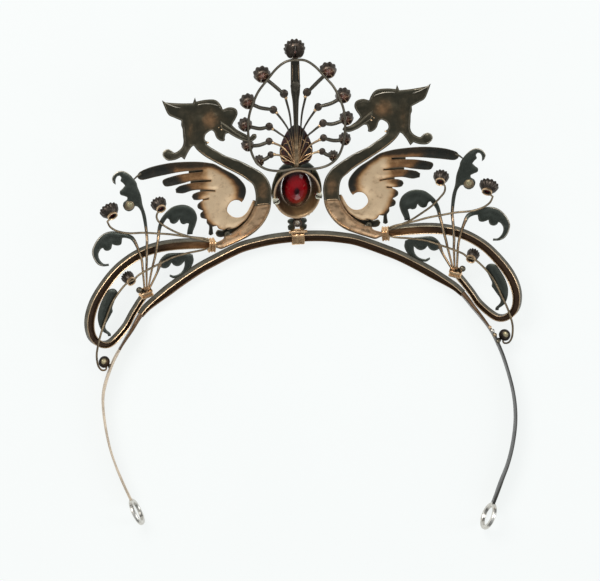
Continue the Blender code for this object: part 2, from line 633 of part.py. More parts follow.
        cups = {}
        flowers, short_route = FLOWERS, SHORT_WIRE
        if side < 0:
            flowers, short_route = {**FLOWERS, "short": LEFT_SHORT_FLOWER}, LEFT_SHORT_WIRE
        for name, (bx, by, back_r, fx, fy, front_r, clear) in flowers.items():
            back = point(side * bx, by, blended(over, clear))
            front_way = (point(side * fx, fy) - normal(side * fx, fy) * FLOWER_DEPTH * 0.6 - back).normalized()
            front = back + front_way * FLOWER_DEPTH
            turn = Vector((1, 0, 0))
            cup = collet("cup", back, front, back_r * SQUARE, front_r * SQUARE, 0.45 * MM, 8, turn)
            cups[name] = (cup, back, front, back_r * SQUARE, front_r * SQUARE, turn)

        def to_rim(route, name):
            cup, back, front, back_r, front_r, turn = cups[name]
            return route + [back + (route[-1] - back).normalized() * (back_r - 0.2 * MM)]

        tall = wire("tall", to_rim(run(TALL_WIRE), "tall"), FLOWER_WIRE)
        short = wire("short", to_rim(run(short_route), "short"), FLOWER_WIRE)
        parts = [tall, short, cups["tall"][0], cups["short"][0]]
        keep(fused("spray", parts), silver, "upper_spray_" + word)
        low_route = run(LOW_WIRE)
        x, y = SCROLL_BALL_AT
        ball_mesh = bmesh.new()
        turn = Matrix.Translation(point(side * x, y, 0.2 * MM))
        bmesh.ops.create_uvsphere(ball_mesh, u_segments=10, v_segments=6, radius=SCROLL_BALL / 2, matrix=turn)
        ball = bm_object("ball", ball_mesh)
        low_wire = wire("low", low_route, FLOWER_WIRE)
        keep(fused("spray", [low_wire, cups["low"][0], ball]), silver, "lower_spray_" + word)
        for name, (cup, back, front, back_r, front_r, turn) in cups.items():
            axis = (back - front).normalized()
            inner = front_r * 0.84 - 0.45 * MM - GAP
            girdle = front + axis * 0.5 * MM
            made = stone("stone", girdle, girdle + axis * inner * 0.85, inner * 0.9, 0.6, 8, turn)
            keep(made, garnet, name + "_flower_stone_" + word)

    # Centre: an open backed oval collet with a halo, two screws and the stone in its front
    x, y = CENTRE_AT
    frame = standing(x, y)
    wide, high = CENTRE_WIDTH / 2, CENTRE_HEIGHT / 2
    rows = [
        (0, SETTING_BACK), (0, -CENTRE_DEPTH * 0.3), (HALO_WIDTH, -CENTRE_DEPTH * 0.4),
        (HALO_WIDTH, -CENTRE_DEPTH * 0.6), (-CENTRE_WALL, -CENTRE_DEPTH),
        (-CENTRE_WALL * 2.1, -CENTRE_DEPTH), (-CENTRE_WALL, SETTING_BACK),
    ]
    rings = []
    for extra, level in rows:
        ring = []
        for k in range(20):
            angle = 2 * math.pi * k / 20
            spot = Vector(((wide + extra) * math.cos(angle), (high + extra) * math.sin(angle), level))
            ring.append(frame @ spot)
        rings.append(ring)
    parts = [loft("collet", rings, closed=True)]
    for side in (1, -1):
        x, y = SCREW_AT
        head = bmesh.new()
        bmesh.ops.create_cone(
            head, cap_ends=True, segments=10, radius1=SCREW_DIAMETER / 2, radius2=SCREW_DIAMETER / 2 * 0.85,
            depth=1.2 * MM, matrix=standing(side * x, y, 1.2 * MM),
        )
        parts.append(bm_object("screw", head))
    keep(fused("centre", parts), gold, "centre_setting")
    fit = wide - CENTRE_WALL * 2.1 - GAP
    stretch = (high - CENTRE_WALL * 2.1 - GAP) / fit
    girdle = frame @ Vector((0, 0, -CENTRE_STONE_SEAT))
    culet = frame @ Vector((0, 0, -CENTRE_STONE_SEAT + CENTRE_STONE_DEPTH))
    up_side = (frame.to_3x3() @ Vector((0, 1, 0))).normalized()
    keep(stone("stone", girdle, culet, fit, 0.62, 16, up_side, stretch), garnet, "centre_stone")

    # Link setting between the centre and the rail, a small gap below the centre's collet
    below = (CENTRE_HEIGHT / 2 + LINK_GAP + LINK_SETTING_DIAMETER / 2) * math.cos(FLARE)
    frame = standing(0, CENTRE_AT[1] - below / SQUARE)
    up_side = (frame.to_3x3() @ Vector((0, 1, 0))).normalized()
    back = frame @ Vector((0, 0, SETTING_BACK * 0.6))
    front = frame @ Vector((0, 0, -SETTING_FRONT))
    radius = LINK_SETTING_DIAMETER / 2
    cup = collet("link", back, front, radius * 0.92, radius, 0.4 * MM, 6, up_side)
    keep(cup, gold, "link_setting")
    inner = radius * 0.84 - 0.4 * MM - GAP
    girdle = frame @ Vector((0, 0, -SETTING_FRONT * 0.45))
    culet = frame @ Vector((0, 0, -SETTING_FRONT * 0.45 + inner))
    keep(stone("stone", girdle, culet, inner, 0.6, 8, up_side), pale_stone, "link_stone")

    # Palmette and fan
    outline = PALMETTE + [(-x, y) for x, y in PALMETTE[-2:0:-1]]
    lower = -(CENTRE_BAR_THICKNESS / 2 + GAP + PALMETTE_THICKNESS)
    keep(plate("palmette", outline, PALMETTE_THICKNESS, lambda x, y: lower), enamel, "palmette")
    outline = [(x, y) for x, y in CENTRE_BAR] + [(-x, y) for x, y in CENTRE_BAR[::-1]]
    parts = [plate("bar", outline, CENTRE_BAR_THICKNESS, lambda x, y: -CENTRE_BAR_THICKNESS / 2)]
    settings = [(FINIAL, "fan_stone_top")]
    for k, row in enumerate(FAN, 1):
        settings.append((row[:3], f"fan_stone_right_{k}"))
        settings.append(((-row[0], row[1], row[2]), f"fan_stone_left_{k}"))
    stones = []
    for (x, y, reach), name in settings:
        frame = standing(x, y)
        up_side = (frame.to_3x3() @ Vector((0, 1, 0))).normalized()
        radius = reach * SQUARE
        back = frame @ Vector((0, 0, SETTING_BACK))
        front = frame @ Vector((0, 0, -SETTING_FRONT))
        teeth = 8 if reach > 3.5 else 6
        wall = radius * SETTING_WALL
        parts.append(collet("cup", back, front, radius * 0.8, radius, wall, teeth, up_side))
        inner = radius * 0.8 - wall - GAP
        girdle = frame @ Vector((0, 0, -SETTING_FRONT * 0.5))
        culet = frame @ Vector((0, 0, -SETTING_FRONT * 0.5 + inner * 0.8))
        stones.append((stone("stone", girdle, culet, inner, 0.6, 8, up_side), name))
    for side in (1, -1):
        for x, y, reach, bud_x, bud_y, bud_r, bar, stem in FAN:
            bud = bmesh.new()
            bmesh.ops.create_uvsphere(bud, u_segments=8, v_segments=5, radius=bud_r * SQUARE)
            shape = standing(side * bud_x, bud_y) @ Matrix.Diagonal((1, 1.25, 0.55, 1))
            bmesh.ops.transform(bud, matrix=shape, verts=bud.verts)
            parts.append(bm_object("bud", bud))
            spots = [point(side * a, b, 0.12 * MM) for a, b in bar]
            heart = point(side * x, y, 0.12 * MM)
            spots.append(heart + (spots[-1] - heart).normalized() * (reach * SQUARE * (0.8 - SETTING_WALL / 2)))
            parts.append(wire("bar", spots, FAN_BAR_WIRE))
            spots = [point(side * a, b, 0.04 * MM) for a, b in [(0.3, FAN_FOOT[1] + 0.4)] + stem]
            parts.append(wire("stem", spots, STEM_WIRE))
    bud = bmesh.new()
    bmesh.ops.create_uvsphere(bud, u_segments=8, v_segments=5, radius=CENTRE_BUD[2] * SQUARE)
    shape = standing(*CENTRE_BUD[:2]) @ Matrix.Diagonal((1, 1.25, 0.45, 1))
    bmesh.ops.transform(bud, matrix=shape, verts=bud.verts)
    parts.append(bm_object("bud", bud))
    keep(fused("fan", parts), silver, "fan_frame")
    for made, name in stones:
        keep(made, small_stones, name)

    # Egg shaped wire ring in front of the settings
    whole = OVAL + [(-x, y) for x, y in OVAL[-2:0:-1]]
    spots = [point(x, y, RING_HEIGHT) for x, y in whole]
    keep(wire("ring", spots, OVAL_WIRE, 1, True), worn_silver, "oval_ring")

    # The origin is on the floor under the middle of the whole tiara
    reaches = [vert.co.y for made in pieces for vert in made.data.vertices]
    middle = (min(reaches) + max(reaches)) / 2
    home = bpy.data.collections.new("tiara")
    bpy.context.scene.collection.children.link(home)
    for made in pieces:
        made.location.y = -middle
        for owner in list(made.users_collection):
            owner.objects.unlink(made)
        home.objects.link(made)
        smooth(made)


build()
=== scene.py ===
# %% [markdown]
# # A tiara, seen from behind
#
# The tiara is silver and gold: two winged dragons on a scrolled rail, an oval
# garnet, an enamelled palmette and a fan of small stones behind a wire ring.
# This lesson dresses its packed solids. Every number below is in millimetres,
# and the packed model stays where it is: each new piece stands in the place of
# the solid that it replaces.

# %% Load the packed model, with a helper that reads a part's box
import math

import bpy
import numpy as np
from mathutils import Matrix, Vector
from mathutils.geometry import delaunay_2d_cdt


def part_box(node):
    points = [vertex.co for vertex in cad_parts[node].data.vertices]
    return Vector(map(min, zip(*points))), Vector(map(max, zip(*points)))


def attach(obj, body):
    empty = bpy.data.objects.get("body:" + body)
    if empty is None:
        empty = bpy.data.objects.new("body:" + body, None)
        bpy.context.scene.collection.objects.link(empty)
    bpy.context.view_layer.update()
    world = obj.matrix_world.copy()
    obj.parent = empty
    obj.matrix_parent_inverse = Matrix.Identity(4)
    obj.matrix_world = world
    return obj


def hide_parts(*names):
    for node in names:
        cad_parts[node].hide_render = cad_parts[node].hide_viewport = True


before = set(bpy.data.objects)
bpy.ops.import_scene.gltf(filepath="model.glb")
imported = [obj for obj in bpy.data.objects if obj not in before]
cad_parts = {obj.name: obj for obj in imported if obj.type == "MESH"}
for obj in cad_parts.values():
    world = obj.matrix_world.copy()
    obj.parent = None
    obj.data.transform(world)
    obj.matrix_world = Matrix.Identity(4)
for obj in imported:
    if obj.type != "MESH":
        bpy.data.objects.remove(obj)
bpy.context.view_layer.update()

MM = 0.001

# %% [markdown]
# ## The surface that carries the ornament
#
# On the real tiara all the ornament lies on one flared surface, which starts at
# the rail and rises outwards like the side of a shallow bowl. Each piece could
# be turned into place by hand, but then nothing would line up. So the pieces are
# drawn flat, in millimetres across and up, and one function gives the height of
# the surface over any spot of the drawing.

# %% The flared surface
FLARE = math.radians(31)
# The arch that the head fits under, and the gap that soldered parts keep
ARCH_RISE, ARCH_HALF, ARCH_SHAPE = 61.6, 72.5, 2.6
GAP = 0.35
RAIL_WIDTH, RAIL_DEPTH = 2.75, 3.0
LOOP_WIDTH, LOOP_DEPTH = 2.5, 2.4
TIE_WALL = 0.4
RAIL_REST = (RAIL_WIDTH / 2 + GAP + TIE_WALL) * math.sin(FLARE) + (
    RAIL_DEPTH / 2 + GAP + TIE_WALL
) * math.cos(FLARE)
# How far the rail's middle lies above the middle of the packed box
MIDDLE = 19.061
STEP = 0.5


def surface(x, y):
    """Height of the surface over a spot or over arrays of spots."""
    up = np.asarray(y, float) + ARCH_RISE - 0.6
    reach = np.hypot(x, up)
    across = np.where(up > 0, np.abs(x) / reach, 1.0)
    arch = ARCH_RISE + (ARCH_HALF - ARCH_RISE) * across ** ARCH_SHAPE
    return RAIL_REST + math.tan(FLARE) * (reach - arch)


def spot(x, y, height=0.0):
    """A place in space, in millimetres, over a spot of the drawing."""
    return Vector((x, y + MIDDLE, float(surface(x, y)) + height))


def upright(x, y):
    """The direction straight out of the surface, to the back."""
    one = spot(x + STEP, y) - spot(x - STEP, y)
    two = spot(x, y + STEP) - spot(x, y - STEP)
    return one.cross(two).normalized()


def standing(x, y, height=0.0, turn=0.0):
    """A frame on the surface: X along the arch, Y outwards, Z to the back."""
    up = upright(x, y)
    side = Vector((x, y + ARCH_RISE, 0)).normalized().cross(up).normalized()
    turned = Matrix((side, up.cross(side), up)).transposed().to_4x4()
    return Matrix.Translation(spot(x, y, height)) @ turned @ Matrix.Rotation(turn, 4, "Z")


tie_middle = [round(500 * (a + b), 2) for a, b in zip(*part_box("centre_tie"))]
print("rail's middle", [round(v, 2) for v in spot(0, 0.6)], "tie's middle", tie_middle)

# %% [markdown]
# ## Smooth lines from few points
#
# A maker cuts sheet along a drawn line and bends wire to it. Here a line is a
# short table of points. Blender's own curves would smooth it, but they need a
# handle at each point, so a small Hermite spline goes through the points
# instead, and keeps the sharp corners where the line turns hard.

# %% Smooth a table of points
# A bend may swing out by this much of the distance between two points
SWING = 1.15


def smoothed(table, step=0.4, closed=False, corner=62):
    """The table's points with more between them; a turn over corner degrees stays sharp."""
    rows = np.array(table, float)
    count = len(rows)
    made = []
    for k in range(count if closed else count - 1):
        near = [k - 1, k, k + 1, k + 2]
        if closed:
            p = [rows[i % count] for i in near]
        else:
            p = [rows[min(max(i, 0), count - 1)] for i in near]
        before, ahead, after = p[1] - p[0], p[2] - p[1], p[3] - p[2]
        size = np.linalg.norm(ahead[:2])
        way = []
        for one, two in ((before, ahead), (ahead, after)):
            bend = math.atan2(one[0] * two[1] - one[1] * two[0], one[:2] @ two[:2])
            sharp = abs(math.degrees(bend)) > corner or not np.any(one) or not np.any(two)
            slope = ahead if sharp else (one + two) / 2
            way.append(slope * min(1.0, SWING * size / max(1e-9, np.linalg.norm(slope[:2]))))
        steps = max(1, round(size / step))
        for i in range(steps):
            t = i / steps
            made.append(
                (2 * t**3 - 3 * t * t + 1) * p[1] + (t**3 - 2 * t * t + t) * way[0]
                + (3 * t * t - 2 * t**3) * p[2] + (t**3 - t * t) * way[1]
            )
    if not closed:
        made.append(rows[-1])
    return np.array(made)


def blended(table, at):
    """Reads a table of (place, value) rows at any place, or at an array of them."""
    rows = np.array(table, float)
    return np.interp(at, rows[:, 0], rows[:, 1])


print("a line of 3 points grows to", len(smoothed([(0, 0), (3, 1), (6, 0)])))

# %% [markdown]
# ## Writing a finish as arithmetic
#
# A finish in Blender is a net of nodes. Drawn by hand it soon becomes hard to
# read. Here a small class wraps a socket, so that sums on it add the Math nodes,
# and a finish reads like the sentence "dark where the metal lies deep, light
# along the edge". Colours are mixed with Mix nodes, never with Math.

# %% A socket with arithmetic
class Flow:
    """A value that varies over a surface, held by a socket of a finish."""

    def __init__(self, finish, socket):
        self.finish, self.socket = finish, socket

    def math(self, operation, first, second, clamp=False):
        """A Math node between two values or numbers."""
        settings = {"operation": operation, "use_clamp": clamp}
        return self.finish.node("ShaderNodeMath", settings, {0: first, 1: second})

    def __add__(self, other):
        return self.math("ADD", self, other)

    def __sub__(self, other):
        return self.math("SUBTRACT", self, other)

    def __rsub__(self, other):
        return self.math("SUBTRACT", other, self)

    def __mul__(self, other):
        return self.math("MULTIPLY", self, other)

    __radd__, __rmul__ = __add__, __mul__

    def between(self, low, high):
        """0 up to low, 1 from high on, and smooth between them."""
        settings = {"interpolation_type": "SMOOTHSTEP"}
        links = {"Value": self, "From Min": low, "From Max": high}
        return self.finish.node("ShaderNodeMapRange", settings, links)

    def capped(self):
        """The same value, held between 0 and 1."""
        return self.math("ADD", self, 0.0, clamp=True)


print("Flow knows", [name for name in vars(Flow) if not name.startswith("_")])


# %% A finish and its nodes
class Finish:
    """A metal, stone or enamel: one Principled shader, with what varies linked to it."""

    def __init__(self, name, owner=None, shader="Principled BSDF", **constants):
        self.material = owner or bpy.data.materials.new(name)
        self.material.use_nodes = True
        self.tree = self.material.node_tree
        self.shader = self.tree.nodes[shader]
        for key, value in constants.items():
            self.shader.inputs[key.replace("_", " ")].default_value = value

    def node(self, kind, settings=None, links=None, out=0):
        """Any node: its settings first, then the values or links of its sockets."""
        made = self.tree.nodes.new(kind)
        for key, value in (settings or {}).items():
            if key == "stops":
                ramp = made.color_ramp.elements
                while len(ramp) < len(value):
                    ramp.new(0.5)
                for stop, (at, colour) in zip(ramp, value):
                    stop.position, stop.color = at, colour
            else:
                setattr(made, key, value)
        for key, value in (links or {}).items():
            socket = made.inputs[key] if isinstance(key, int) else next(
                s for s in made.inputs if key in (s.identifier, s.name)
            )
            self.feed(socket, value)
        return Flow(self, made.outputs[out])

    def feed(self, socket, value):
        """Links a value that varies, or sets a plain one."""
        if isinstance(value, Flow):
            self.tree.links.new(value.socket, socket)
        else:
            socket.default_value = value

    def where(self, stretch=(1, 1, 1)):
        """The spot on the piece in millimetres, stretched along the axes."""
        spots = self.node("ShaderNodeTexCoord", out=3)
        scale = tuple(1000 * s for s in stretch)
        return self.node("ShaderNodeVectorMath", {"operation": "MULTIPLY"}, {0: spots, 1: scale})

    def cloud(self, size, detail=4.0, stretch=(1, 1, 1)):
        """Soft noise whose patches are about size millimetres across."""
        links = {"Vector": self.where(stretch), "Scale": 1 / size, "Detail": detail, "Roughness": 0.55}
        return self.node("ShaderNodeTexNoise", {}, links)

    def mask(self, name):
        """A mask that is stored on the piece's points."""
        return self.node("ShaderNodeAttribute", {"attribute_name": name}, out=2)

    def mix(self, share, one, two):
        """A colour between one and two."""
        settings = {"data_type": "RGBA"}
        links = {"Factor_Float": share, "A_Color": one, "B_Color": two}
        return self.node("ShaderNodeMix", settings, links, out=2)

    def bumped(self, height, distance, strength=0.5):
        """A normal that follows a height, the distance in millimetres."""
        links = {"Height": height, "Distance": distance * MM, "Strength": strength}
        return self.node("ShaderNodeBump", {}, links)

    def set(self, **sockets):
        """Feeds sockets of the shader, with _ for each space in a name, and gives the material."""
        for key, value in sockets.items():
            self.feed(self.shader.inputs[key.replace("_", " ")], value)
        return self.material


print("Finish knows", [name for name in vars(Finish) if not name.startswith("_")])


# %% Colours
def tone(red, green, blue):
    """A colour as a colour picker shows it, turned into the linear colour a shader wants."""
    return tuple(
        v / 12.92 if v <= 0.04045 else ((v + 0.055) / 1.055) ** 2.4
        for v in (red / 255, green / 255, blue / 255)
    ) + (1.0,)


print("a middle grey is", [round(v, 3) for v in tone(128, 128, 128)])

# %% [markdown]
# ## Old silver and worn gilding
#
# The back of the tiara is silver that has gone dark and brown, with gilding
# rubbed through on the parts that are touched. Tarnish could be one flat dark
# colour, but the real one lies in soft patches, is thin along edges and has fine
# grit in it. So each metal mixes a deep tone with its own tone by a cloud of
# noise, roughens with the grit and lets a light tone through by the edge mask:
# partly metal rubbed bright on edges and high points, partly a painted
# highlight on rims, wire tops and dome tops.

# %% Tarnished metals
def tarnished(name, deep, own, bright, size=2.6, rough=(0.3, 0.52), metal=0.85, edge=0.8, ramp=None,
              stretch=(1, 1, 1), relief=0.05, patches=(0.38, 0.64)):
    """A worn metal; ramp gives its tones by the piece's shade mask instead of one tone."""
    f = Finish(name, IOR=1.6)
    cloud = f.cloud(size, stretch=stretch)
    grit = f.cloud(0.34, 3.0, stretch)
    if ramp:
        spread = f.mask("shade") + (cloud - 0.5) * 0.34 + (grit - 0.5) * 0.14
        own = f.node("ShaderNodeValToRGB", {"stops": ramp}, {"Fac": spread.capped()})
        deep = f.mix((spread * 0.7).capped(), own, deep)
    colour = f.mix(cloud.between(*patches), deep, own)
    colour = f.mix(grit.between(0.56, 0.72) * 0.35, colour, deep)
    # Where the edge mask is high the light tone shows: rubbed metal plus a painted highlight
    wear_and_highlight = (f.mask("edge") * (0.35 + grit)).capped() * edge
    colour = f.mix(wear_and_highlight, colour, bright)
    low, high = rough
    roughness = low + (high - low) * grit.between(0.3, 0.7) + (0.5 - cloud) * 0.12
    normal = f.bumped(grit * 0.6 + cloud, relief, 0.6)
    dull = metal - cloud.between(0.5, 0.8) * 0.2
    return f.set(Base_Color=colour, Roughness=roughness, Metallic=dull, Normal=normal)


# Also used for the dark sheets that paint the shadow in the wings' slits
WALL = tarnished(
    "oxidised_wall_and_slit_shade", tone(45, 43, 36), tone(76, 74, 64), tone(156, 144, 120), stretch=(0.5, 1, 1),
)
HOLLOW_TONES = [
    (0.0, tone(44, 30, 18)), (0.4, tone(72, 50, 30)), (0.75, tone(128, 92, 58)), (1.0, tone(176, 134, 92)),
]
HOLLOW = tarnished(
    "brown_hollow", tone(40, 27, 16), None, tone(150, 112, 72), size=3.0, ramp=HOLLOW_TONES, edge=0.3,
    metal=0.6, stretch=(0.35, 1, 1), patches=(0.3, 0.6), relief=0.06,
)
# Also paints glints: the light beads on the dragons' heads and every other claw of the settings
RIM = tarnished(
    "rubbed_rim_and_glints", tone(132, 104, 72), tone(198, 164, 126), tone(236, 208, 170), size=1.6, rough=(0.22, 0.4),
    patches=(0.3, 0.5), relief=0.03,
)
TIE = tarnished(
    "rose_gold", tone(160, 116, 76), tone(226, 182, 134), tone(252, 228, 190), size=1.2, rough=(0.18, 0.36),
    metal=1.0, patches=(0.3, 0.52), relief=0.04,
)
FAN_METAL = tarnished(
    "fan_silver", tone(34, 31, 28), tone(68, 62, 56), tone(160, 138, 120), size=1.4, edge=0.6,
)
RING_METAL = tarnished("ring_silver", tone(54, 51, 44), tone(92, 87, 76), tone(176, 164, 142), size=3.0)
SPRAY_METAL = tarnished("spray_silver", tone(58, 50, 38), tone(116, 102, 80), tone(212, 188, 152), size=2.2)
CROWN_METAL = tarnished(
    "crown_silver", tone(26, 25, 24), tone(58, 53, 49), tone(128, 112, 98), size=1.0, edge=0.7,
)
LEG_ROSE = tarnished(
    "leg_rose", tone(126, 98, 70), tone(206, 182, 152), tone(242, 228, 208), size=7.0, edge=0.7,
)
LEG_GREY = tarnished("leg_grey", tone(36, 36, 35), tone(56, 56, 54), tone(116, 114, 108), size=5.0, edge=0.3)
END_SILVER = tarnished(
    "end_silver", tone(124, 118, 108), tone(186, 182, 172), tone(232, 229, 222), size=2.0, rough=(0.2, 0.4),
    metal=1.0, relief=0.03,
)
# A light metal; on the leaves' edge wires and the setting claws it paints highlights and glints
BRIGHT_EDGE = tarnished(
    "bright_edge", tone(150, 142, 126), tone(206, 196, 178), tone(240, 234, 218), size=1.6, relief=0.03,
)
print("plain metals", [made.name for made in bpy.data.materials])

# %% Metals that change their tone over a piece
WING_TONES = [
    (0.0, tone(40, 41, 35)), (0.2, tone(66, 52, 36)), (0.4, tone(138, 98, 60)),
    (0.62, tone(208, 164, 116)), (1.0, tone(242, 212, 172)),
]
WING_METAL = tarnished(
    "wing_gilding", tone(146, 114, 82), None, tone(196, 170, 132), size=2.6, ramp=WING_TONES, edge=0.3,
    rough=(0.34, 0.5), relief=0.04, patches=(0.2, 0.46), metal=0.6,
)
NECK_TONES = [
    (0.0, tone(62, 63, 53)), (0.26, tone(90, 81, 63)), (0.55, tone(172, 132, 94)),
    (1.0, tone(232, 196, 156)),
]
NECK_METAL = tarnished(
    "neck_gilding", tone(72, 61, 46), None, tone(206, 194, 170), size=2.4, ramp=NECK_TONES, edge=0.85,
    rough=(0.32, 0.5), patches=(0.26, 0.56),
)
print("toned metals", WING_METAL.name, NECK_METAL.name)

# %% [markdown]
# ## Garnets, small stones and enamel
#
# The stones sit deep in cups that are open to the back. A fully clear shader with
# real refraction goes nearly black down there, so only a share of the light goes
# through, and the reflections are painted instead: a mask gives the facets deep
# and light tones in turn. The palmette is opaque: dark red enamel, melted glass on
# metal, so it is smooth with a faint waviness and darker pools.

# %% Stones and enamel
def crystal(name, deep, own, clear, index):
    """A stone: clear is the share of light that goes through, index how much it bends."""
    f = Finish(name, IOR=index, Transmission_Weight=clear, Specular_IOR_Level=0.2)
    cloud = f.cloud(2.4, 2.0)
    # Painted reflections: the shade mask gives each facet a deep or a light tone
    colour = f.mix((f.mask("shade") + (cloud - 0.5) * 0.5).capped(), deep, own)
    return f.set(Base_Color=colour, Roughness=0.05 + 0.06 * cloud)


GARNET = crystal("garnet_crystal", tone(34, 3, 8), tone(148, 6, 18), 0.1, 1.5)
BROWN_STONE = crystal("brown_crystal", tone(84, 42, 34), tone(246, 190, 166), 0.15, 1.6)
CLEAR_STONE = crystal("clear_crystal", tone(120, 104, 84), tone(236, 226, 204), 0.5, 1.6)


def enamelled(name, deep, own):
    """Melted glass on metal, darker in its pools and along the edge."""
    f = Finish(name, IOR=1.52, Coat_Weight=0.6, Coat_Roughness=0.08)
    cloud = f.cloud(1.6, 3.0)
    fine = f.cloud(0.25, 2.0)
    colour = f.mix(cloud.between(0.4, 0.68), deep, own)
    colour = f.mix(f.mask("edge") * 0.6, colour, tone(20, 12, 10))
    return f.set(Base_Color=colour, Roughness=0.12 + 0.14 * fine, Normal=f.bumped(cloud, 0.08, 0.4))


ENAMEL = enamelled("dark_enamel", tone(28, 13, 9), tone(70, 26, 14))
print("stones", GARNET.name, BROWN_STONE.name, CLEAR_STONE.name, ENAMEL.name)

# %% [markdown]
# ## Building up a piece
#
# A goldsmith solders parts together, and the result is one piece. In Blender
# each part could stay an object, but hundreds of objects are hard to keep in
# order. So the parts are collected as bare points and faces, each with its own
# finish and masks, and made into one object at the end.

# %% A piece made of parts
class Piece:
    """Parts that are soldered together and become one object."""

    def __init__(self):
        self.points, self.faces, self.looks, self.edge, self.shade = [], [], [], [], []
        self.finishes, self.count = [], 0

    def add(self, points, faces, finish, edge=0.0, shade=0.0):
        """Adds a part. finish is one material, or one for each face."""
        several = isinstance(finish, list)
        for k, face in enumerate(faces):
            look = finish[k] if several else finish
            if look not in self.finishes:
                self.finishes.append(look)
            self.looks.append(self.finishes.index(look))
            self.faces.append([self.count + i for i in face])
        self.points.append(np.asarray(points, float))
        self.edge.append(np.broadcast_to(edge, len(points)))
        self.shade.append(np.broadcast_to(shade, len(points)))
        self.count += len(points)
        return self

    def made(self, name, node, slot, angle=38):
        """Turns the parts into an object that stands for a packed solid."""
        mesh = bpy.data.meshes.new(name)
        places = np.concatenate(self.points) * MM
        mesh.from_pydata(places.tolist(), [], self.faces)
        for finish in self.finishes:
            mesh.materials.append(finish)
        mesh.polygons.foreach_set("material_index", self.looks)
        for mask in ("edge", "shade"):
            values = np.concatenate(getattr(self, mask)).astype(np.float32)
            mesh.attributes.new(mask, "FLOAT", "POINT").data.foreach_set("value", values)
        mesh.update()
        mesh.validate()
        mesh.shade_smooth()
        mesh.set_sharp_from_angle(angle=math.radians(angle))
        piece = bpy.data.objects.new(name, mesh)
        bpy.context.scene.collection.objects.link(piece)
        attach(piece, "root")
        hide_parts(node)
        print(name, "has", len(self.faces), "faces")
        return piece


def ring_faces(rows, count, closed_rows=False, caps=True):
    """Faces that join rows of points, each row a closed ring."""
    faces = []
    for r in range(rows if closed_rows else rows - 1):
        a, b = r * count, (r + 1) % rows * count
        for k in range(count):
            n = (k + 1) % count
            faces.append((a + k, a + n, b + n, b + k))
    if caps and not closed_rows:
        faces.append(tuple(range(count))[::-1])
        faces.append(tuple((rows - 1) * count + k for k in range(count)))
    return faces


# Right and left as the back is seen
SIDES = ((1, "right"), (-1, "left"))
print("a ring of 4 by 6 has", len(ring_faces(4, 6)), "faces")

# %% [markdown]
# ## Wires, channels and cups
#
# Three shapes make most of the work: a profile pushed along a line, which gives
# wires and channels; a row of rings round an axis, which gives cups, balls and
# screws; and sheet cut to an outline. Blender's curves could push a profile, but
# they turn it as they like, while these channels have to stand on the surface.
# So the frames along a line are worked out here from the surface itself.

# %% Directions along a line
def frames_along(spots, ups, closed=False):
    """Directions across and up for each spot of a line."""
    if closed:
        along = np.roll(spots, -1, 0) - np.roll(spots, 1, 0)
    else:
        along = np.gradient(spots, axis=0)
    along /= np.linalg.norm(along, axis=1)[:, None]
    across = np.cross(along, ups)
    across /= np.linalg.norm(across, axis=1)[:, None]
    return across, np.cross(across, along)


def uprights(x, y):
    """The surface's directions to the back at arrays of spots."""
    dx = (surface(x + STEP, y) - surface(x - STEP, y)) / (2 * STEP)
    dy = (surface(x, y + STEP) - surface(x, y - STEP)) / (2 * STEP)
    ups = np.stack([-dx, -dy, np.ones_like(dx)], 1)
    return ups / np.linalg.norm(ups, axis=1)[:, None]


def on_surface(rows, side=1):
    """Spots in space for rows of (x, y, height), mirrored for side -1."""
    x, y = side * rows[:, 0], rows[:, 1]
    high = rows[:, 2] if rows.shape[1] > 2 else 0.0
    return np.stack([x, y + MIDDLE, surface(x, y) + high], 1), uprights(x, y)


print("straight up at the rail", [round(v, 3) for v in upright(0, 0)])


# %% Push a profile along a line
def pushed(spots, ups, profile, closed=False):
    """Points and faces of a profile pushed along a line; profile may change along it."""
    across, up = frames_along(spots, ups, closed)
    shape = np.broadcast_to(profile, (len(spots),) + np.shape(profile)[-2:])
    points = spots[:, None] + across[:, None] * shape[..., :1] + up[:, None] * shape[..., 1:]
    count = shape.shape[1]
    return points.reshape(-1, 3), ring_faces(len(spots), count, closed)


def round_profile(radius, sides=12, flat=1.0):
    """A circle for each radius, flattened if asked."""
    angle = 2 * np.pi * np.arange(sides) / sides
    circle = np.stack([np.cos(angle), np.sin(angle) * flat], 1)
    return np.asarray(radius, float).reshape(-1, 1, 1) * circle


def wire(piece, rows, diameter, finish, side=1, closed=False, taper=(), sides=12, shade=0.5):
    """A drawn wire through rows of (x, y, height); taper gives its share by way along."""
    spots, ups = on_surface(rows, side)
    radius = np.full(len(rows), diameter / 2)
    if len(taper):
        radius = radius * blended(taper, np.linspace(0, 1, len(rows)))
    points, faces = pushed(spots, ups, round_profile(radius, sides), closed)
    angle = 2 * np.pi * np.arange(sides) / sides
    # Painted highlight: the edge mask is lit only along the wire's upper side, away from the surface
    edge = np.tile(np.clip(np.sin(angle), 0, 1) ** 3 * 0.55, len(rows))
    return piece.add(points, faces, finish, edge, shade)


print("a wire's profile has", round_profile(1).shape[1], "points")


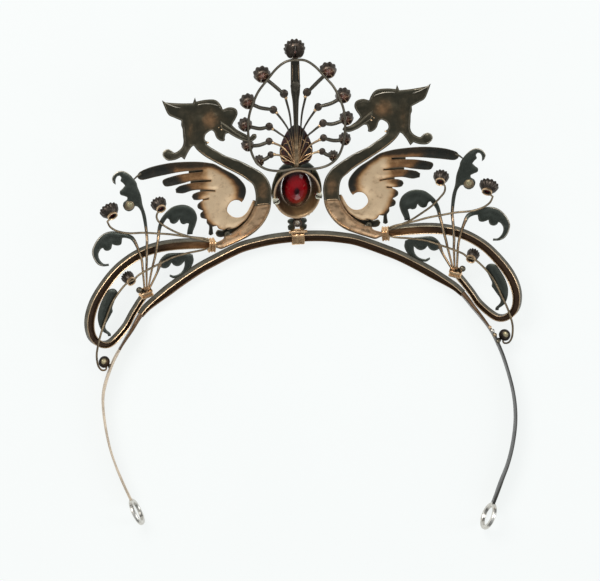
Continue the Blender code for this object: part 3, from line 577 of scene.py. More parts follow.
# %% Turn rings round an axis
def turned(piece, axis, rows, finish, sides=32, teeth=0, oval=1.0, closed=False, edges=(), shade=0.0):
    """Rings round the Z of axis, rows of (reach, level, tooth); closed joins the last to the first."""
    angle = 2 * np.pi * np.arange(sides) / sides
    wave = np.abs(np.cos(angle * teeth / 2)) ** 1.6 if teeth else np.ones(sides)
    points = []
    for (reach, level, tooth), long in zip(rows, np.broadcast_to(oval, len(rows))):
        far = reach * (1 + 0.1 * tooth * (wave - 0.6) * 2)
        high = level - np.sign(tooth) * abs(tooth) * 0.55 * wave if teeth else np.full(sides, level)
        points.append(np.stack([far * np.cos(angle), far * np.sin(angle) * long, high], 1))
    points = np.concatenate(points)
    turn = np.array(axis.to_3x3())
    points = points @ turn.T + np.array(axis.translation)
    edge = np.repeat(edges if len(edges) else np.zeros(len(rows)), sides)
    return piece.add(points, ring_faces(len(rows), sides, closed), finish, edge, shade)


def ball(piece, axis, radii, finish, sides=20, edge=0.2, shade=0.5):
    """A domed drop of metal with three half widths."""
    tilt = np.linspace(0.12, np.pi - 0.12, 11)
    rows = [(math.sin(t), math.cos(t), 0) for t in tilt]
    shape = Matrix.Diagonal((*radii, 1))
    # Painted highlight: the edge mask is strongest on the dome's top and fades down its sides
    edges = [edge * max(0, math.cos(t)) for t in tilt]
    turned(piece, axis @ shape, rows, finish, sides, edges=edges, shade=shade)
    return piece


short_line = on_surface(np.array([[0, 0], [3, 0]]))
print("a wire of 3 mm has", len(pushed(*short_line, round_profile(0.4))[0]), "points")

# %% [markdown]
# ## The rail and the scroll loops
#
# The rail is a channel of sheet silver, open to the back: a dark outer wall, two
# rims where the gilding has rubbed through, and a brown hollow between them. A
# plain strip with painted lines would look flat from the side, so the channel is
# modelled whole, and each face of its profile carries its own finish.

# %% Lines of the rail and of a loop
# Columns (x, y); a loop's third column is its share of the width
RAIL = [
    (0, 0.6), (5, 0.5), (10, 0.1), (15, -0.7), (20, -1.8), (25, -3.7), (30, -5.9), (35, -8.2),
    (40, -11), (45, -14.1), (50, -17.4), (54.5, -20.6), (57.3, -23.3),
]
RAIL_TAPER = [(47, 1.0), (57, 0.5)]
RIM_WIDE = 0.34
BED_DEEP = 1.05
LOOP = [
    (31.1, 0.0, 1.1), (35, 0.5, 1.25), (40, 0.75, 1.3), (45, 0.7, 1.3), (50, 0.2, 1.25), (55, -1.05, 1.2),
    (60, -3.4, 1.15), (65, -7, 1.15), (69.6, -12.1, 1.2), (73, -17.1, 1.22), (75, -22, 1.2),
    (75.5, -26.3, 1.12), (74.6, -30, 1.04), (72, -32.4, 0.92), (69, -32.6, 0.84), (65.9, -30.4, 0.8),
    (62.5, -26.8, 0.78), (60.1, -22.9, 0.72), (57.6, -19.3, 0.72), (55.9, -17, 0.72), (55, -15.3, 0.72),
]
print("rail", len(RAIL), "points, loop", len(LOOP), "points")


# %% A channel with rims of its own finish
def channel(piece, rows, widths, depth, side=1, shade=0.3, inner=RIM, dark=0):
    """A channel open to the back, pushed along rows of (x, y); its outer rim is dark for some rows."""
    wall, soft, slope = RIM_WIDE, 0.12, 0.15
    spots, ups = on_surface(rows, side)
    half = np.asarray(widths, float)[:, None] / 2
    deep, bed = depth / 2, depth / 2 - BED_DEEP
    across = [
        -half, half, half, half - soft, half - wall + soft, half - wall, half - wall - slope,
        wall + slope - half, wall - half, wall - half - soft, soft - half, -half,
    ]
    up = [
        -deep, -deep, deep - soft, deep, deep, deep - soft, bed, bed, deep - soft, deep, deep, deep - soft,
    ]
    profile = np.stack([np.concatenate(across, 1), np.tile(up, (len(rows), 1))], 2)
    points, faces = pushed(spots, ups, profile)
    looks = []
    for k in range(len(rows) - 1):
        outer = WALL if k < dark else RIM
        one, two = (outer, inner) if side > 0 else (inner, outer)
        looks += [WALL, WALL, two, two, two, HOLLOW, HOLLOW, HOLLOW, one, one, one, WALL]
    looks += [WALL, WALL]
    edge = np.tile([0.1, 0.1, 0.4, 1, 1, 0.3, 0.1, 0.1, 0.3, 1, 1, 0.4], len(rows))
    return piece.add(points, faces, looks, edge, np.repeat(shade, len(up)) if np.ndim(shade) else shade)


print("rims", RIM_WIDE, "mm wide, the bed", BED_DEEP, "mm under them")


# %% Bend the rail and the loops
route = smoothed([(-x, y) for x, y in RAIL[:0:-1]] + RAIL, 0.7)
widths = RAIL_WIDTH * blended(RAIL_TAPER, np.abs(route[:, 0]))
rail = channel(Piece(), route, widths, RAIL_DEPTH, shade=0.25, inner=HOLLOW)
rail.made("rail_channel", "base_rail", "oxidised_silver")

for side, word in SIDES:
    route = smoothed(LOOP, 0.6)
    # The hollow is warmest near the upper tie, and up to x = 52 the outer rim is dark
    warm = 0.24 + 0.6 * np.exp(-(((route[:, 0] - 33) / 13) ** 2))
    dark = int((route[:, 0] < 52).argmin())
    loop = channel(Piece(), route[:, :2], LOOP_WIDTH * route[:, 2], LOOP_DEPTH, side, warm, dark=dark)
    loop.made("loop_channel_" + word, "scroll_loop_" + word, "oxidised_silver")

# %% [markdown]
# ## The ties
#
# Bands of rose gold wrap the rail and the loops where they meet. A tie is a strip
# bent round: beaded on the upper ones, flanged on the lower ones and nearly smooth
# with a bar along its top in the middle. It is made as rings of a rounded box, a
# ring for each step of the moulding, so the beads are real and catch the light.

# %% Moulded ties
TIE_SIDES, SQUARENESS = 40, 0.32
# The bar along the top of the middle tie, columns (x, y, height)
LIP = [(-3.2, 2.35, 2.1), (-1, 2.45, 2.2), (1, 2.45, 2.2), (3.2, 2.35, 2.1)]


def tie(node, x, y, turn, length, width, depth, mould, knob=None, lip=False):
    """A band round a rail or loop; mould lists (share of the length, extra height)."""
    axis = np.array(standing(x, y, 0, turn))
    piece = Piece()
    angle = 2 * np.pi * (np.arange(TIE_SIDES) + 0.5) / TIE_SIDES
    box = [np.sign(way) * np.abs(way) ** SQUARENESS for way in (np.cos(angle), np.sin(angle))]
    rows, edges = [], []
    for share, extra in mould:
        a = (width / 2 + TIE_WALL + extra) * box[0]
        b = (depth / 2 + TIE_WALL + extra) * box[1]
        rows.append(np.stack([np.full(TIE_SIDES, (share - 0.5) * length), a, b], 1))
        edges.append(np.clip(extra * 2.2, 0, 1))
    for share in (1.0, 0.0):
        along = np.full(TIE_SIDES, (share - 0.5) * length)
        rows.append(np.stack([along, width / 2 * box[0], depth / 2 * box[1]], 1))
        edges.append(0.1)
    points = np.concatenate(rows) @ axis[:3, :3].T + axis[:3, 3]
    piece.add(points, ring_faces(len(rows), TIE_SIDES, True), TIE, np.repeat(edges, TIE_SIDES), 0.6)
    if knob:
        ball(piece, standing(*knob, 0.4), (1.15, 1.15, 0.9), WALL, 24, 0.6, 0.3)
    if lip:
        wire(piece, smoothed(LIP, 0.4), 1.1, TIE, taper=[(0, 0.9), (0.5, 1), (1, 0.9)], sides=16, shade=0.6)
    return piece.made(node + "_band", node, "red_gold", 30)


# %% Wrap the ties
BEADED = [
    (0.0, -0.05), (0.03, 0.12), (0.12, 0.2), (0.2, 0.12), (0.24, -0.08), (0.4, -0.08), (0.44, 0.1),
    (0.5, 0.16), (0.56, 0.1), (0.6, -0.08), (0.76, -0.08), (0.8, 0.12), (0.88, 0.2), (0.97, 0.12),
    (1.0, -0.05),
]
GROOVED = [
    (0.0, 0.0), (0.04, 0.12), (0.24, 0.13), (0.28, 0.05), (0.33, 0.05), (0.37, 0.12), (0.63, 0.12),
    (0.67, 0.05), (0.72, 0.05), (0.76, 0.13), (0.96, 0.12), (1.0, 0.0),
]
FLANGED = [
    (0.0, 0.1), (0.06, 0.26), (0.3, 0.26), (0.38, -0.06), (0.66, -0.06), (0.74, 0.22), (0.94, 0.22),
    (1.0, 0.1),
]
RAIL_HOLE = (RAIL_WIDTH + 2 * GAP, RAIL_DEPTH + 2 * GAP)
LOOP_HOLE = (LOOP_WIDTH + 2 * GAP, LOOP_DEPTH + 2 * GAP)
tie("centre_tie", 0, 0.6, 0, 4.5, *RAIL_HOLE, GROOVED, lip=True)
for side, word in SIDES:
    tie("upper_tie_" + word, side * 30.9, -0.3, side * math.radians(31), 2.6, *LOOP_HOLE, BEADED)
    knob = (side * 57.2, -14.4)
    tie("lower_tie_" + word, side * 54.9, -15.6, -side * math.radians(52), 2.3, *LOOP_HOLE, FLANGED, knob)

# %% [markdown]
# ## The legs
#
# Each leg is a thin strip on edge, which springs from the end of the rail and
# ends in a small ring. The strips have been bent by wearing and are no longer
# alike, so each has its own line, and the left one is broader. A strip is a tall
# flat profile pushed along that line; the ring is turned round its own axis.

# %% Lines and sizes of the legs
RIGHT_LEG = [
    (56.9, -22.9), (58.7, -25.4), (60.4, -28), (63, -31.7), (65.2, -35), (67.2, -38.5), (68.8, -42.5),
    (70.3, -47), (72, -54), (73, -60), (73.3, -66), (72.8, -72), (71.3, -79), (69.3, -85),
    (67, -90), (64.6, -95.5),
]
LEFT_LEG = [
    (56.9, -22.9), (58.7, -25.4), (60.4, -28), (63.1, -31.7), (65.4, -35), (68, -39.3), (70.5, -45),
    (72, -50), (72.4, -55), (72, -62), (71, -69), (69.5, -75), (67.5, -81), (65.6, -86),
]
END_RING, END_HOLE, END_THICK, END_TILT = 10.0, 6.8, 1.3, math.radians(15)
LEG_HEIGHT = 8.0
# Half the strip's thickness, and its upper and lower side, by way along
STRIP_HALF = [
    (0, 0.85), (0.08, 0.6), (0.19, 0.3), (0.24, 0.38), (0.5, 0.29), (0.8, 0.27), (0.93, 0.4), (1, 0.48),
]
STRIP_TOP = [(0, 6.2), (0.1, LEG_HEIGHT), (0.9, LEG_HEIGHT), (1, 6.2)]
STRIP_LOW = [(0, 0.02), (0.9, 0.02), (1, 1.6)]
# Beads of solder where the dark foot ends, columns (way along, reach, finish)
BEADS = ((0.195, 0.6, RIM), (0.215, 0.8, END_SILVER), (0.235, 0.75, SPRAY_METAL), (0.255, 0.8, WALL))
DARK_FOOT = 0.2
print("right leg", len(RIGHT_LEG), "points, left leg", len(LEFT_LEG), "points")


# %% A leg and its ring
def leg(side, word, table, ring_at, finish, slot, broad, beads):
    """A strip on edge with a rounded top, and its ring; broad widens the free part of the strip."""
    rest = END_RING / 2 * math.cos(END_TILT) + END_THICK / 2 * math.sin(END_TILT)
    heart = np.array([side * ring_at[0], ring_at[1] + MIDDLE, rest])
    flat = np.array([(side * x, y + MIDDLE) for x, y in table])
    inward = Vector((heart[0] - flat[-1][0], heart[1] - flat[-1][1], 0)).normalized()
    last = heart[:2] - np.array(inward[:2]) * (END_RING + END_HOLE) / 4
    flat = smoothed(np.vstack([flat, last]), 0.8)
    spots = np.c_[flat, np.zeros(len(flat))]
    way = np.linspace(0, 1, len(flat))
    share = blended([(0, 1), (0.2, 1), (0.4, broad), (0.85, broad), (1, 1)], way)
    half = (blended(STRIP_HALF, way) * share)[:, None]
    top, low = blended(STRIP_TOP, way)[:, None], blended(STRIP_LOW, way)[:, None]
    wide = np.concatenate([-half * 0.7, half * 0.7, half, half, half * 0.55, -half * 0.55, -half, -half], 1)
    high = np.concatenate([low, low, low + 0.3, top - 0.25, top, top, top - 0.25, low + 0.3], 1)
    ups = np.tile([0.0, 0.0, 1.0], (len(flat), 1))
    points, faces = pushed(spots, ups, np.stack([wide, high], 2))
    edge = np.tile([0.2, 0.2, 0.1, 0.7, 1, 1, 0.7, 0.1], len(flat))
    dark = [HOLLOW if k // 8 < len(flat) * DARK_FOOT else finish for k in range(len(faces))]
    piece = Piece().add(points, faces, dark, edge, np.repeat(way, 8))
    for share, reach, look in beads:
        near = flat[int(len(flat) * share)]
        place = Matrix.Translation((near[0], near[1], LEG_HEIGHT - 0.1))
        ball(piece, place, (reach, reach, 0.5), look, 18, 0.6, 0.6)
    # The ring leans against the end of the strip and rests on the table
    facing = Vector((inward.y, -inward.x, 0)) * side
    tilt = Matrix.Rotation(-END_TILT * side, 3, inward)
    axes = Matrix((tilt @ Vector((0, 0, 1)), inward, tilt @ facing)).transposed().to_4x4()
    axis = Matrix.Translation(heart) @ axes
    one, two, thick = END_RING / 2, END_HOLE / 2, END_THICK / 2
    rows = [
        (two, -thick + 0.3, 0), (two + 0.25, -thick, 0), (one - 0.3, -thick, 0), (one, -thick + 0.3, 0),
        (one, thick - 0.3, 0), (one - 0.3, thick, 0), (two + 0.25, thick, 0), (two, thick - 0.3, 0),
    ]
    edges = [0.6, 0.9, 0.9, 1, 1, 0.9, 0.9, 0.6]
    turned(piece, axis, rows, END_SILVER, 56, closed=True, edges=edges, shade=0.8)
    return piece.made("leg_strip_" + word, "leg_" + word, slot)


leg(1, "right", RIGHT_LEG, (61.3, -102.6), LEG_GREY, "leg_silver", 0.72, BEADS)
leg(-1, "left", LEFT_LEG, (63, -92.4), LEG_ROSE, "worn_silver", 1.3, ())

# %% [markdown]
# ## Sheet metal
#
# Dragons, wings and leaves are pierced sheet: cut out with a saw, then worked
# from both sides so that feathers and lobes swell. An extruded outline would be
# dead flat. Here the outline is filled with points, closer together near the edge,
# joined into triangles and lifted by a relief that depends on the distance to the
# edge. So every slit and lobe rounds off by itself.

# %% Distances to an outline
def away(places, line):
    """Distance of places to a closed line, worked out for some places at a time to save memory."""
    start, ahead = line, np.roll(line, -1, 0) - line
    long = np.maximum((ahead**2).sum(1), 1e-12)
    best = np.empty(len(places))
    batch = 1500
    for s in range(0, len(places), batch):
        off = places[s:s + batch, None] - start
        share = np.clip((off * ahead).sum(-1) / long, 0, 1)
        best[s:s + batch] = np.sqrt(((off - ahead * share[..., None]) ** 2).sum(-1)).min(1)
    return best


def within(places, line):
    """Which places lie inside a closed line."""
    x, y = places[:, :1], places[:, 1:]
    a, b = line, np.roll(line, -1, 0)
    rise = np.where(b[:, 1] == a[:, 1], 1e-9, b[:, 1] - a[:, 1])
    hits = ((a[:, 1] > y) != (b[:, 1] > y)) & (x < (b[:, 0] - a[:, 0]) * (y - a[:, 1]) / rise + a[:, 0])
    return hits.sum(1) % 2 == 1


def turning(line):
    """Twice the area inside a closed line, negative if it runs clockwise."""
    return (line[:, 0] * np.roll(line[:, 1], -1) - line[:, 1] * np.roll(line[:, 0], -1)).sum()


print("a square of 2 mm holds", turning(np.array([(0, 0), (2, 0), (2, 2), (0, 2)])) / 2, "square mm")


# %% Fill an outline with triangles
def filled(line, rows, grid):
    """Spots and triangles that fill a closed line, with rows along the edge at some distances."""
    along = np.roll(line, -1, 0) - np.roll(line, 1, 0)
    along /= np.maximum(np.linalg.norm(along, axis=1), 1e-9)[:, None]
    inward = np.stack([-along[:, 1], along[:, 0]], 1) * np.sign(turning(line))
    spots = [line]
    for far in rows:
        row = line + inward * far
        row = row[within(row, line)]
        spots.append(row[away(row, line) > far * 0.94])
    (x0, y0), (x1, y1) = line.min(0), line.max(0)
    net = [
        (x + grid / 2 * (k % 2), y)
        for k, y in enumerate(np.arange(y0, y1, grid * 0.87)) for x in np.arange(x0, x1, grid)
    ]
    net = np.array(net)
    net = net[within(net, line)]
    spots.append(net[away(net, line) > max(rows) + grid * 0.55])
    spots = np.concatenate(spots)
    count = len(line)
    edges = [(k, (k + 1) % count) for k in range(count)]
    made = delaunay_2d_cdt([Vector(s) for s in spots], edges, [], 1, 1e-6)
    return np.array([tuple(v) for v in made[0]]), [tuple(f) for f in made[2]], count


square = np.array([(0, 0), (4, 0), (4, 4), (0, 4)], float)
print("a square of 4 mm is filled with", len(filled(square, [0.3], 0.6)[1]), "triangles")


# %% Cut a sheet and work its relief
def sheet(table, thick, lower, rim, relief, shade, finish, side=1, step=0.34, grid=0.6, piece=None):
    """Sheet cut to a table. rim lists (distance, drop, light); the rest are functions of x, y, distance."""
    line = smoothed(table, step, True)
    spots, faces, count = filled(line, [row[0] for row in rim[1:]], grid)
    far = away(spots, line)
    far[:count] = 0
    x, y = spots[:, 0], spots[:, 1]
    places, drops, lights = zip(*rim)
    drop = np.interp(far, places, drops)
    light = np.interp(far, places, lights)
    base = surface(side * x, y) + lower(x, y)
    swell = relief(x, y, far)
    top = np.stack([side * x, y + MIDDLE, base + thick - drop + swell], 1)
    under = np.stack([side * x, y + MIDDLE, base + drop * 0.6 + swell], 1)
    size = len(spots)
    skin = [f if side > 0 else f[::-1] for f in faces]
    skin += [tuple(i + size for i in (f[::-1] if side > 0 else f)) for f in faces]
    turn = np.sign(turning(line))
    for k in range(count):
        n = (k + 1) % count
        wall = (k, k + size, n + size, n)
        skin.append(wall if turn * side > 0 else wall[::-1])
    piece = piece or Piece()
    masks = np.tile(light, 2), np.tile(shade(x, y, far), 2)
    return piece.add(np.concatenate([top, under]), skin, finish, *masks)


def rising(value, low, high):
    """0 up to low, 1 from high on, smooth between."""
    t = np.clip((np.asarray(value, float) - low) / (high - low), 0, 1)
    return t * t * (3 - 2 * t)


def level(height):
    """A lower side at one height over the surface."""
    return lambda x, y: height + 0 * x


def plain(value):
    """A relief or mask with one value all over."""
    return lambda x, y, far: value + 0 * x


PLAIN_RIM = [(0, 0.26, 0.75), (0.13, 0.08, 0.9), (0.32, 0, 0.25), (0.7, 0, 0.0)]
print("0.5 of the way is", float(rising(0.5, 0, 1)))

# %% [markdown]
# ## The wings
#
# A wing is one sheet with a smooth, swelling shoulder and long feathers that are
# parted by saw cuts. The gilding is whole in the middle of the shoulder, turns
# brown around it and has gone black on the feather tips. The relief hollows each
# feather between its edges, and a mask painted by place leads the tones outwards.

# %% Outline and gilding of a wing
WING = [
    (30.5, 28.6), (34.6, 29.3), (40.5, 29.6), (45.7, 29.4), (51.3, 28.5), (55, 27.2), (56, 26.1),
    (55.8, 24.8), (54.3, 24.2), (49.4, 25), (42, 26), (36.5, 26.3), (33.1, 26.3), (33.1, 25.8),
    (40.2, 25.4), (44.3, 24.7), (46.9, 23.9), (47.4, 22.9), (46.5, 21.5), (44.6, 21.4),
    (40.2, 22.1), (36.5, 22.8), (30.2, 22.6), (30.2, 22.1), (36.5, 22.1), (41.3, 21.3),
    (42.9, 20.3), (42.7, 18.9), (40.2, 18.6), (36.5, 19.4), (31.7, 19.3), (28.9, 18.9), (28.9, 18.5),
    (33.9, 18.9), (36.6, 18.2), (37.2, 17.2), (36.5, 16.1), (34.6, 15.9), (31.3, 16.4), (31.3, 15.9),
    (33.5, 15.6), (35.2, 14.4), (35.1, 13), (33.4, 12), (34.4, 11), (34.1, 9.6), (32.2, 8.9),
    (32.2, 7.6), (31.4, 6.4), (31.7, 3.6), (30.9, 3.1), (30, 3.6), (30.2, 6.1), (28.7, 6.4),
    (27.9, 5.2), (26.3, 4.8), (24.4, 5.4), (22.8, 5.1), (20.6, 6.2), (18, 8.2), (15.8, 11.8),
    (15.1, 14.2), (15.7, 14.3), (16.9, 12), (18, 10.3), (19.8, 9), (22, 8.9), (23.6, 9.7),
    (24.8, 11.2), (24.6, 12.9), (23.5, 14.4), (22, 15), (20.6, 14.8), (19.6, 14.1), (18.7, 15.3),
    (18, 17.6), (18.3, 19.8), (19.8, 22), (22, 24), (25.7, 26.2), (28.6, 28),
]
# How far out the gilding reaches on each feather, columns (y, x)
GILT_REACH = [
    (5, 27.8), (7, 30.3), (9, 32.2), (11, 32.8), (14, 33.8), (17, 35), (20, 38), (23.5, 42), (26.5, 44),
    (29, 46),
]
# Where the shoulder begins, columns (y, x), and the upper edge of the first feather, columns (x, y)
SHOULDER = [
    (8, 12), (12, 16), (15, 18.8), (17.6, 18.0), (19.8, 18.3), (22, 19.8), (24, 22), (26.2, 25.7),
    (28, 28.6),
]
TOP_FEATHER = [(20, 23.6), (30, 26.8), (40, 27.2), (56, 27)]
print("wing", len(WING), "points, gilding read at", len(GILT_REACH), "heights")


# %% Masks and relief of a wing
def wing_shade(x, y, far):
    """1 where the gilding is whole, 0 where the metal is black."""
    crescent = blended([(9, 0), (13, 0), (16, 1), (24, 1), (27, 0.6)], y)
    inner = 1 - crescent * (1 - rising(x - blended(SHOULDER, y), 0.9, 6.0))
    outer = 1 - rising(x - blended(GILT_REACH, y), -2.6, 1.8)
    outer = outer * (1 - 0.6 * rising(x, 29.5, 34.0) * rising(y, 16, 18))
    slit = 0.7 + 0.3 * rising(far, 0.05, 0.5)
    top = 1 - 0.62 * rising(y - blended(TOP_FEATHER, x), -0.6, 0.8)
    knob = 1 - rising(x, 28.5, 29.5) * (1 - rising(y, 6, 7))
    return np.clip(inner ** 0.9 * outer * slit * top * knob, 0, 1)


def wing_relief(x, y, far):
    """Feathers and shoulder hollowed from the back."""
    shoulder = np.exp(-(((x - 26) / 7.5) ** 2 + ((y - 17) / 8.5) ** 2))
    # Punched dots show from behind on the feathers
    dots = rising(np.cos(x * 2.4) * np.cos(y * 2.1 + x * 0.5), 0.5, 0.95)
    dots = 0.09 * dots * rising(x, 32, 35) * (1 - rising(x, 44, 48)) * rising(far, 0.35, 0.8)
    return -0.3 * np.clip(far / 1.3, 0, 1) ** 1.5 - 0.5 * shoulder * rising(far, 0.3, 3.0) + dots


print("mask in the middle of the shoulder", round(float(wing_shade(26, 17, 2)), 2))

# %% Cut the wings
# A dark flange joins the wing's foot to the tail, and dark sheets behind the roots of the slits are painted
# shadow in the slits
FLANGE = [
    (14.6, 14.4), (15.3, 11.6), (17.0, 8.4), (19.0, 6.2), (21.2, 4.5), (24, 3.0), (27.0, 2.2), (28.6, 2.6),
    (29.2, 3.8), (28.4, 4.9), (26.6, 4.7), (25.2, 5.8), (22.8, 5.7), (20.8, 6.9), (18.6, 8.9), (16.6, 11.9),
    (15.6, 14.6),
]
SLIT_SHADOW_SHEETS = [
    [(32.4, 26.9), (38, 26.5), (38, 25.3), (32.4, 25.3)],
    [(29.4, 23.1), (37.5, 22.9), (37.5, 21.6), (29.4, 21.6)],
    [(28.2, 19.5), (34.2, 19.4), (34.2, 18.3), (28.2, 18.1)],
    [(30.5, 16.8), (33.4, 16.6), (33.4, 15.5), (30.5, 15.5)],
]
WING_THICK = 0.65
WING_RIM = [(0, 0.2, 0.1), (0.1, 0.05, 0.5), (0.22, 0, 0.4), (0.4, 0, 0.0), (0.8, 0, 0.0)]
# A bright line along the foot and the wire from the first feather's tip to the leaf
FOOT = [(14.8, 14.4, 0.1), (16, 11.6, 0.1), (17.6, 9, 0.1), (19.6, 7, 0.1), (22, 5.4, 0.1), (25, 4.9, 0.1)]
TIP = [(54.8, 26.4, 0.1), (56.2, 25.6, 0.2), (57.4, 24.6, 0.4)]
for side, word in SIDES:
    wing = sheet(
        WING, WING_THICK, level(-WING_THICK / 2), WING_RIM, wing_relief, wing_shade, WING_METAL, side,
        0.3, 0.5,
    )
    for table in [FLANGE] + SLIT_SHADOW_SHEETS:
        sheet(table, 0.4, level(-0.85), PLAIN_RIM, plain(0.0), plain(0.15), WALL, side, 0.4, 0.6, wing)
    wire(wing, smoothed(FOOT, 0.4), 0.3, RIM, side, taper=[(0, 0.5), (0.5, 1), (1, 0.5)], sides=8)
    wire(wing, smoothed(TIP, 0.4), 0.9, WALL, side, taper=[(0, 1), (1, 0.5)], sides=10)
    wing.made("wing_sheet_" + word, "wing_" + word, "mottled_gilding", 50)

# %% [markdown]
# ## The dragons
#
# A dragon is a single sheet from its tail, which goes under the tie, up the long
# neck to the head, the ear and the curled mane. The tail is bowed like a gutter
# and still shows copper gold, while neck and head are dark. A thin second line
# runs inside the edge, where the front's border was soldered on.

# %% Outline and lift of a dragon
DRAGON = [
    (9.2, 14.2), (9.1, 17.5), (10.0, 20.9), (12.2, 23.9), (14.8, 25.7), (19.8, 28.6), (24.8, 30.7),
    (27.2, 32.2), (29.7, 33.8), (31.4, 35.1), (30.6, 35.8), (31.8, 36.5), (32, 37.5), (31.5, 38.7),
    (30, 39.7), (29.2, 39.7), (28.6, 39), (28, 37.3), (26.9, 36.2), (25.6, 35.8), (24.9, 36.2),
    (25, 37), (24.6, 38.3), (23.5, 38.4), (21.5, 37.2), (19.5, 36.6), (17.6, 36.4), (16.6, 36.9),
    (17.5, 37.7), (18.9, 38.5), (20.9, 39.8), (22.3, 41.2), (21.7, 42.3), (20.9, 43.5),
    (20.3, 45), (20.6, 46.4), (21.7, 47.2), (23.5, 47.4), (25.4, 46.8), (26, 48.2), (27, 49.6),
    (28.5, 50.4), (31.5, 50.5), (34.6, 50.1), (35, 51.5), (35.8, 49.6), (40, 49.8), (45, 50.4),
    (46.5, 51.2), (45.9, 49.4), (44.5, 46.2), (42.5, 45), (40, 43.8), (40.1, 42.2), (39.7, 41),
    (39.6, 38.5), (39.5, 36.5), (40, 34.9), (41.2, 33.7), (42.8, 33), (44, 33.9), (45.4, 34.3),
    (46.7, 33.6), (47, 32.5), (46.4, 31.2), (45, 30.3), (42.5, 30.5), (40.5, 31.3), (39.4, 30.3),
    (38.9, 31.2), (38, 32.8), (36.8, 34.4), (36, 35), (34.7, 33.2), (32.5, 31.2), (30, 29.5),
    (25, 26.5), (20, 23.6), (17.6, 21.8), (15.6, 20), (14.8, 17.2), (14.8, 14.2), (15.7, 11.3),
    (17.2, 8.4), (19.1, 6.3), (21.3, 4.6), (24, 2.9), (24.2, 3.9), (25, 4.2), (26, 3.6),
    (26.4, 1.7), (28.4, 0.7), (30.5, 0.3), (30.5, -0.9), (28.9, -1.5), (27.2, -2), (25, -1.3),
    (22, -0.2), (19.8, 0.7), (17.2, 1.9), (14.3, 3.9), (11.7, 6.8), (9.8, 10.5),
]
# Height of the lower side by y, so that the neck passes over the wing and the head lies low
DRAGON_LIFT = [(2.2, -0.7), (6, 0.8), (30, 0.8), (35.5, -0.5), (60, -0.5)]
DRAGON_THICK = 1.0
# Columns (distance to the edge, drop, light): a step, then a bright line
NECK_RIM = [
    (0, 0.3, 0.0), (0.1, 0.2, 0.15), (0.3, 0.18, 0.05), (0.4, 0.02, 0.75), (0.5, 0, 0.1), (0.8, 0, 0.0),
    (1.3, 0, 0),
]
BROW = [(26, 47.6), (28.5, 48.6), (32, 48.8), (36, 48.3), (40, 48.6), (44, 49.6)]
# Domed places, columns (x, y, reach, height)
BOSSES = [
    (45.3, 32.5, 1.6, 0.5), (28.2, 44.6, 1.2, 0.5), (33.6, 43, 2.4, 0.5), (29.6, 38.4, 1.0, 0.3),
    (23.2, 44.6, 1.8, 0.4),
]
print("dragon", len(DRAGON), "points and", len(BOSSES), "domes")

# %% Lines, glints on the nostrils, and tongues
# Lines that the front's border leaves on the back: points, width and finish
LINES = [
    ([(31.0, 34.6), (29.4, 33.1), (27.8, 32.4), (25.6, 30.7), (24.2, 30.3), (21.6, 28.9), (20.2, 28.6),
      (17.6, 26.9), (16.2, 26.3), (13.6, 24.5), (12.2, 23.5), (10.6, 21.4), (9.8, 19.2)], 0.3, BRIGHT_EDGE),
    ([(34.6, 33.6), (32, 31.4), (29.5, 29.7), (25, 27.0), (20, 24.1), (17.8, 22.5), (16, 20.6)], 0.24, RIM),
    ([(26.2, 47.2), (27, 48.1), (28.4, 48.7), (30.5, 49.1), (33, 49.1), (34.6, 48.7)], 0.28, BRIGHT_EDGE),
    ([(40.2, 48.2), (42.5, 48.9), (44.5, 49.8), (46, 50.8)], 0.32, BRIGHT_EDGE),
    ([(21.6, 46.0), (23.4, 46.5), (25.4, 46.0)], 0.26, RING_METAL),
    ([(39.2, 43), (39.0, 40), (38.8, 37), (39.3, 35), (40.6, 33.4)], 0.34, RING_METAL),
    ([(43.2, 32.7), (43.9, 33.6), (45.2, 34.2), (46.5, 33.6), (46.9, 32.4), (46.2, 31.2), (45, 30.7)],
     0.38, BRIGHT_EDGE),
    ([(9.9, 13.0), (10.4, 10.6), (12.2, 7.2), (14.8, 4.4), (17.6, 2.5), (20.2, 1.2), (24, -0.3),
      (27, -1.3)], 0.36, TIE),
    ([(9.5, 12.9), (12, 13.1), (14.6, 12.9)], 0.3, RIM),
]
TONGUE = [
    (26.6, 43.2), (24.2, 41.7), (21.8, 39.7), (19.8, 38.6), (18.0, 38.3), (16.4, 38.0), (16.1, 37.1),
    (17.6, 36.3), (19.6, 36.5), (22, 37.6), (24, 38.8), (26.3, 40.4),
]
LEFT_TONGUE = [
    (26.6, 43.2), (23.6, 40.9), (21, 38.9), (18.5, 37.2), (16.4, 36.7), (15.2, 37.7), (14.0, 37.6),
    (13.9, 36.4), (15, 35.4), (16.6, 35.0), (18.6, 35.5), (21.5, 37), (24, 38.7), (26.3, 40.4),
]
# Light beads that paint glints on the nostrils and the head, columns (x, y, reach)
NOSTRIL_GLINTS = ((26.0, 41.3, 0.5), (26.1, 39.9, 0.42), (27.0, 40.7, 0.3), (31.0, 35.7, 0.4))
print("lines", len(LINES), "nostrils and beads", len(NOSTRIL_GLINTS))


# %% Masks and relief of a dragon
def rounded(height, reach):
    """A relief that rises to a height over a distance from the edge."""
    return lambda x, y, far: height * np.clip(far / reach, 0, 1)


def patch(x, y, middle, spread):
    """1 in the middle of a soft oval patch, 0 far from it."""
    return np.exp(-(((x - middle[0]) / spread[0]) ** 2 + ((y - middle[1]) / spread[1]) ** 2))


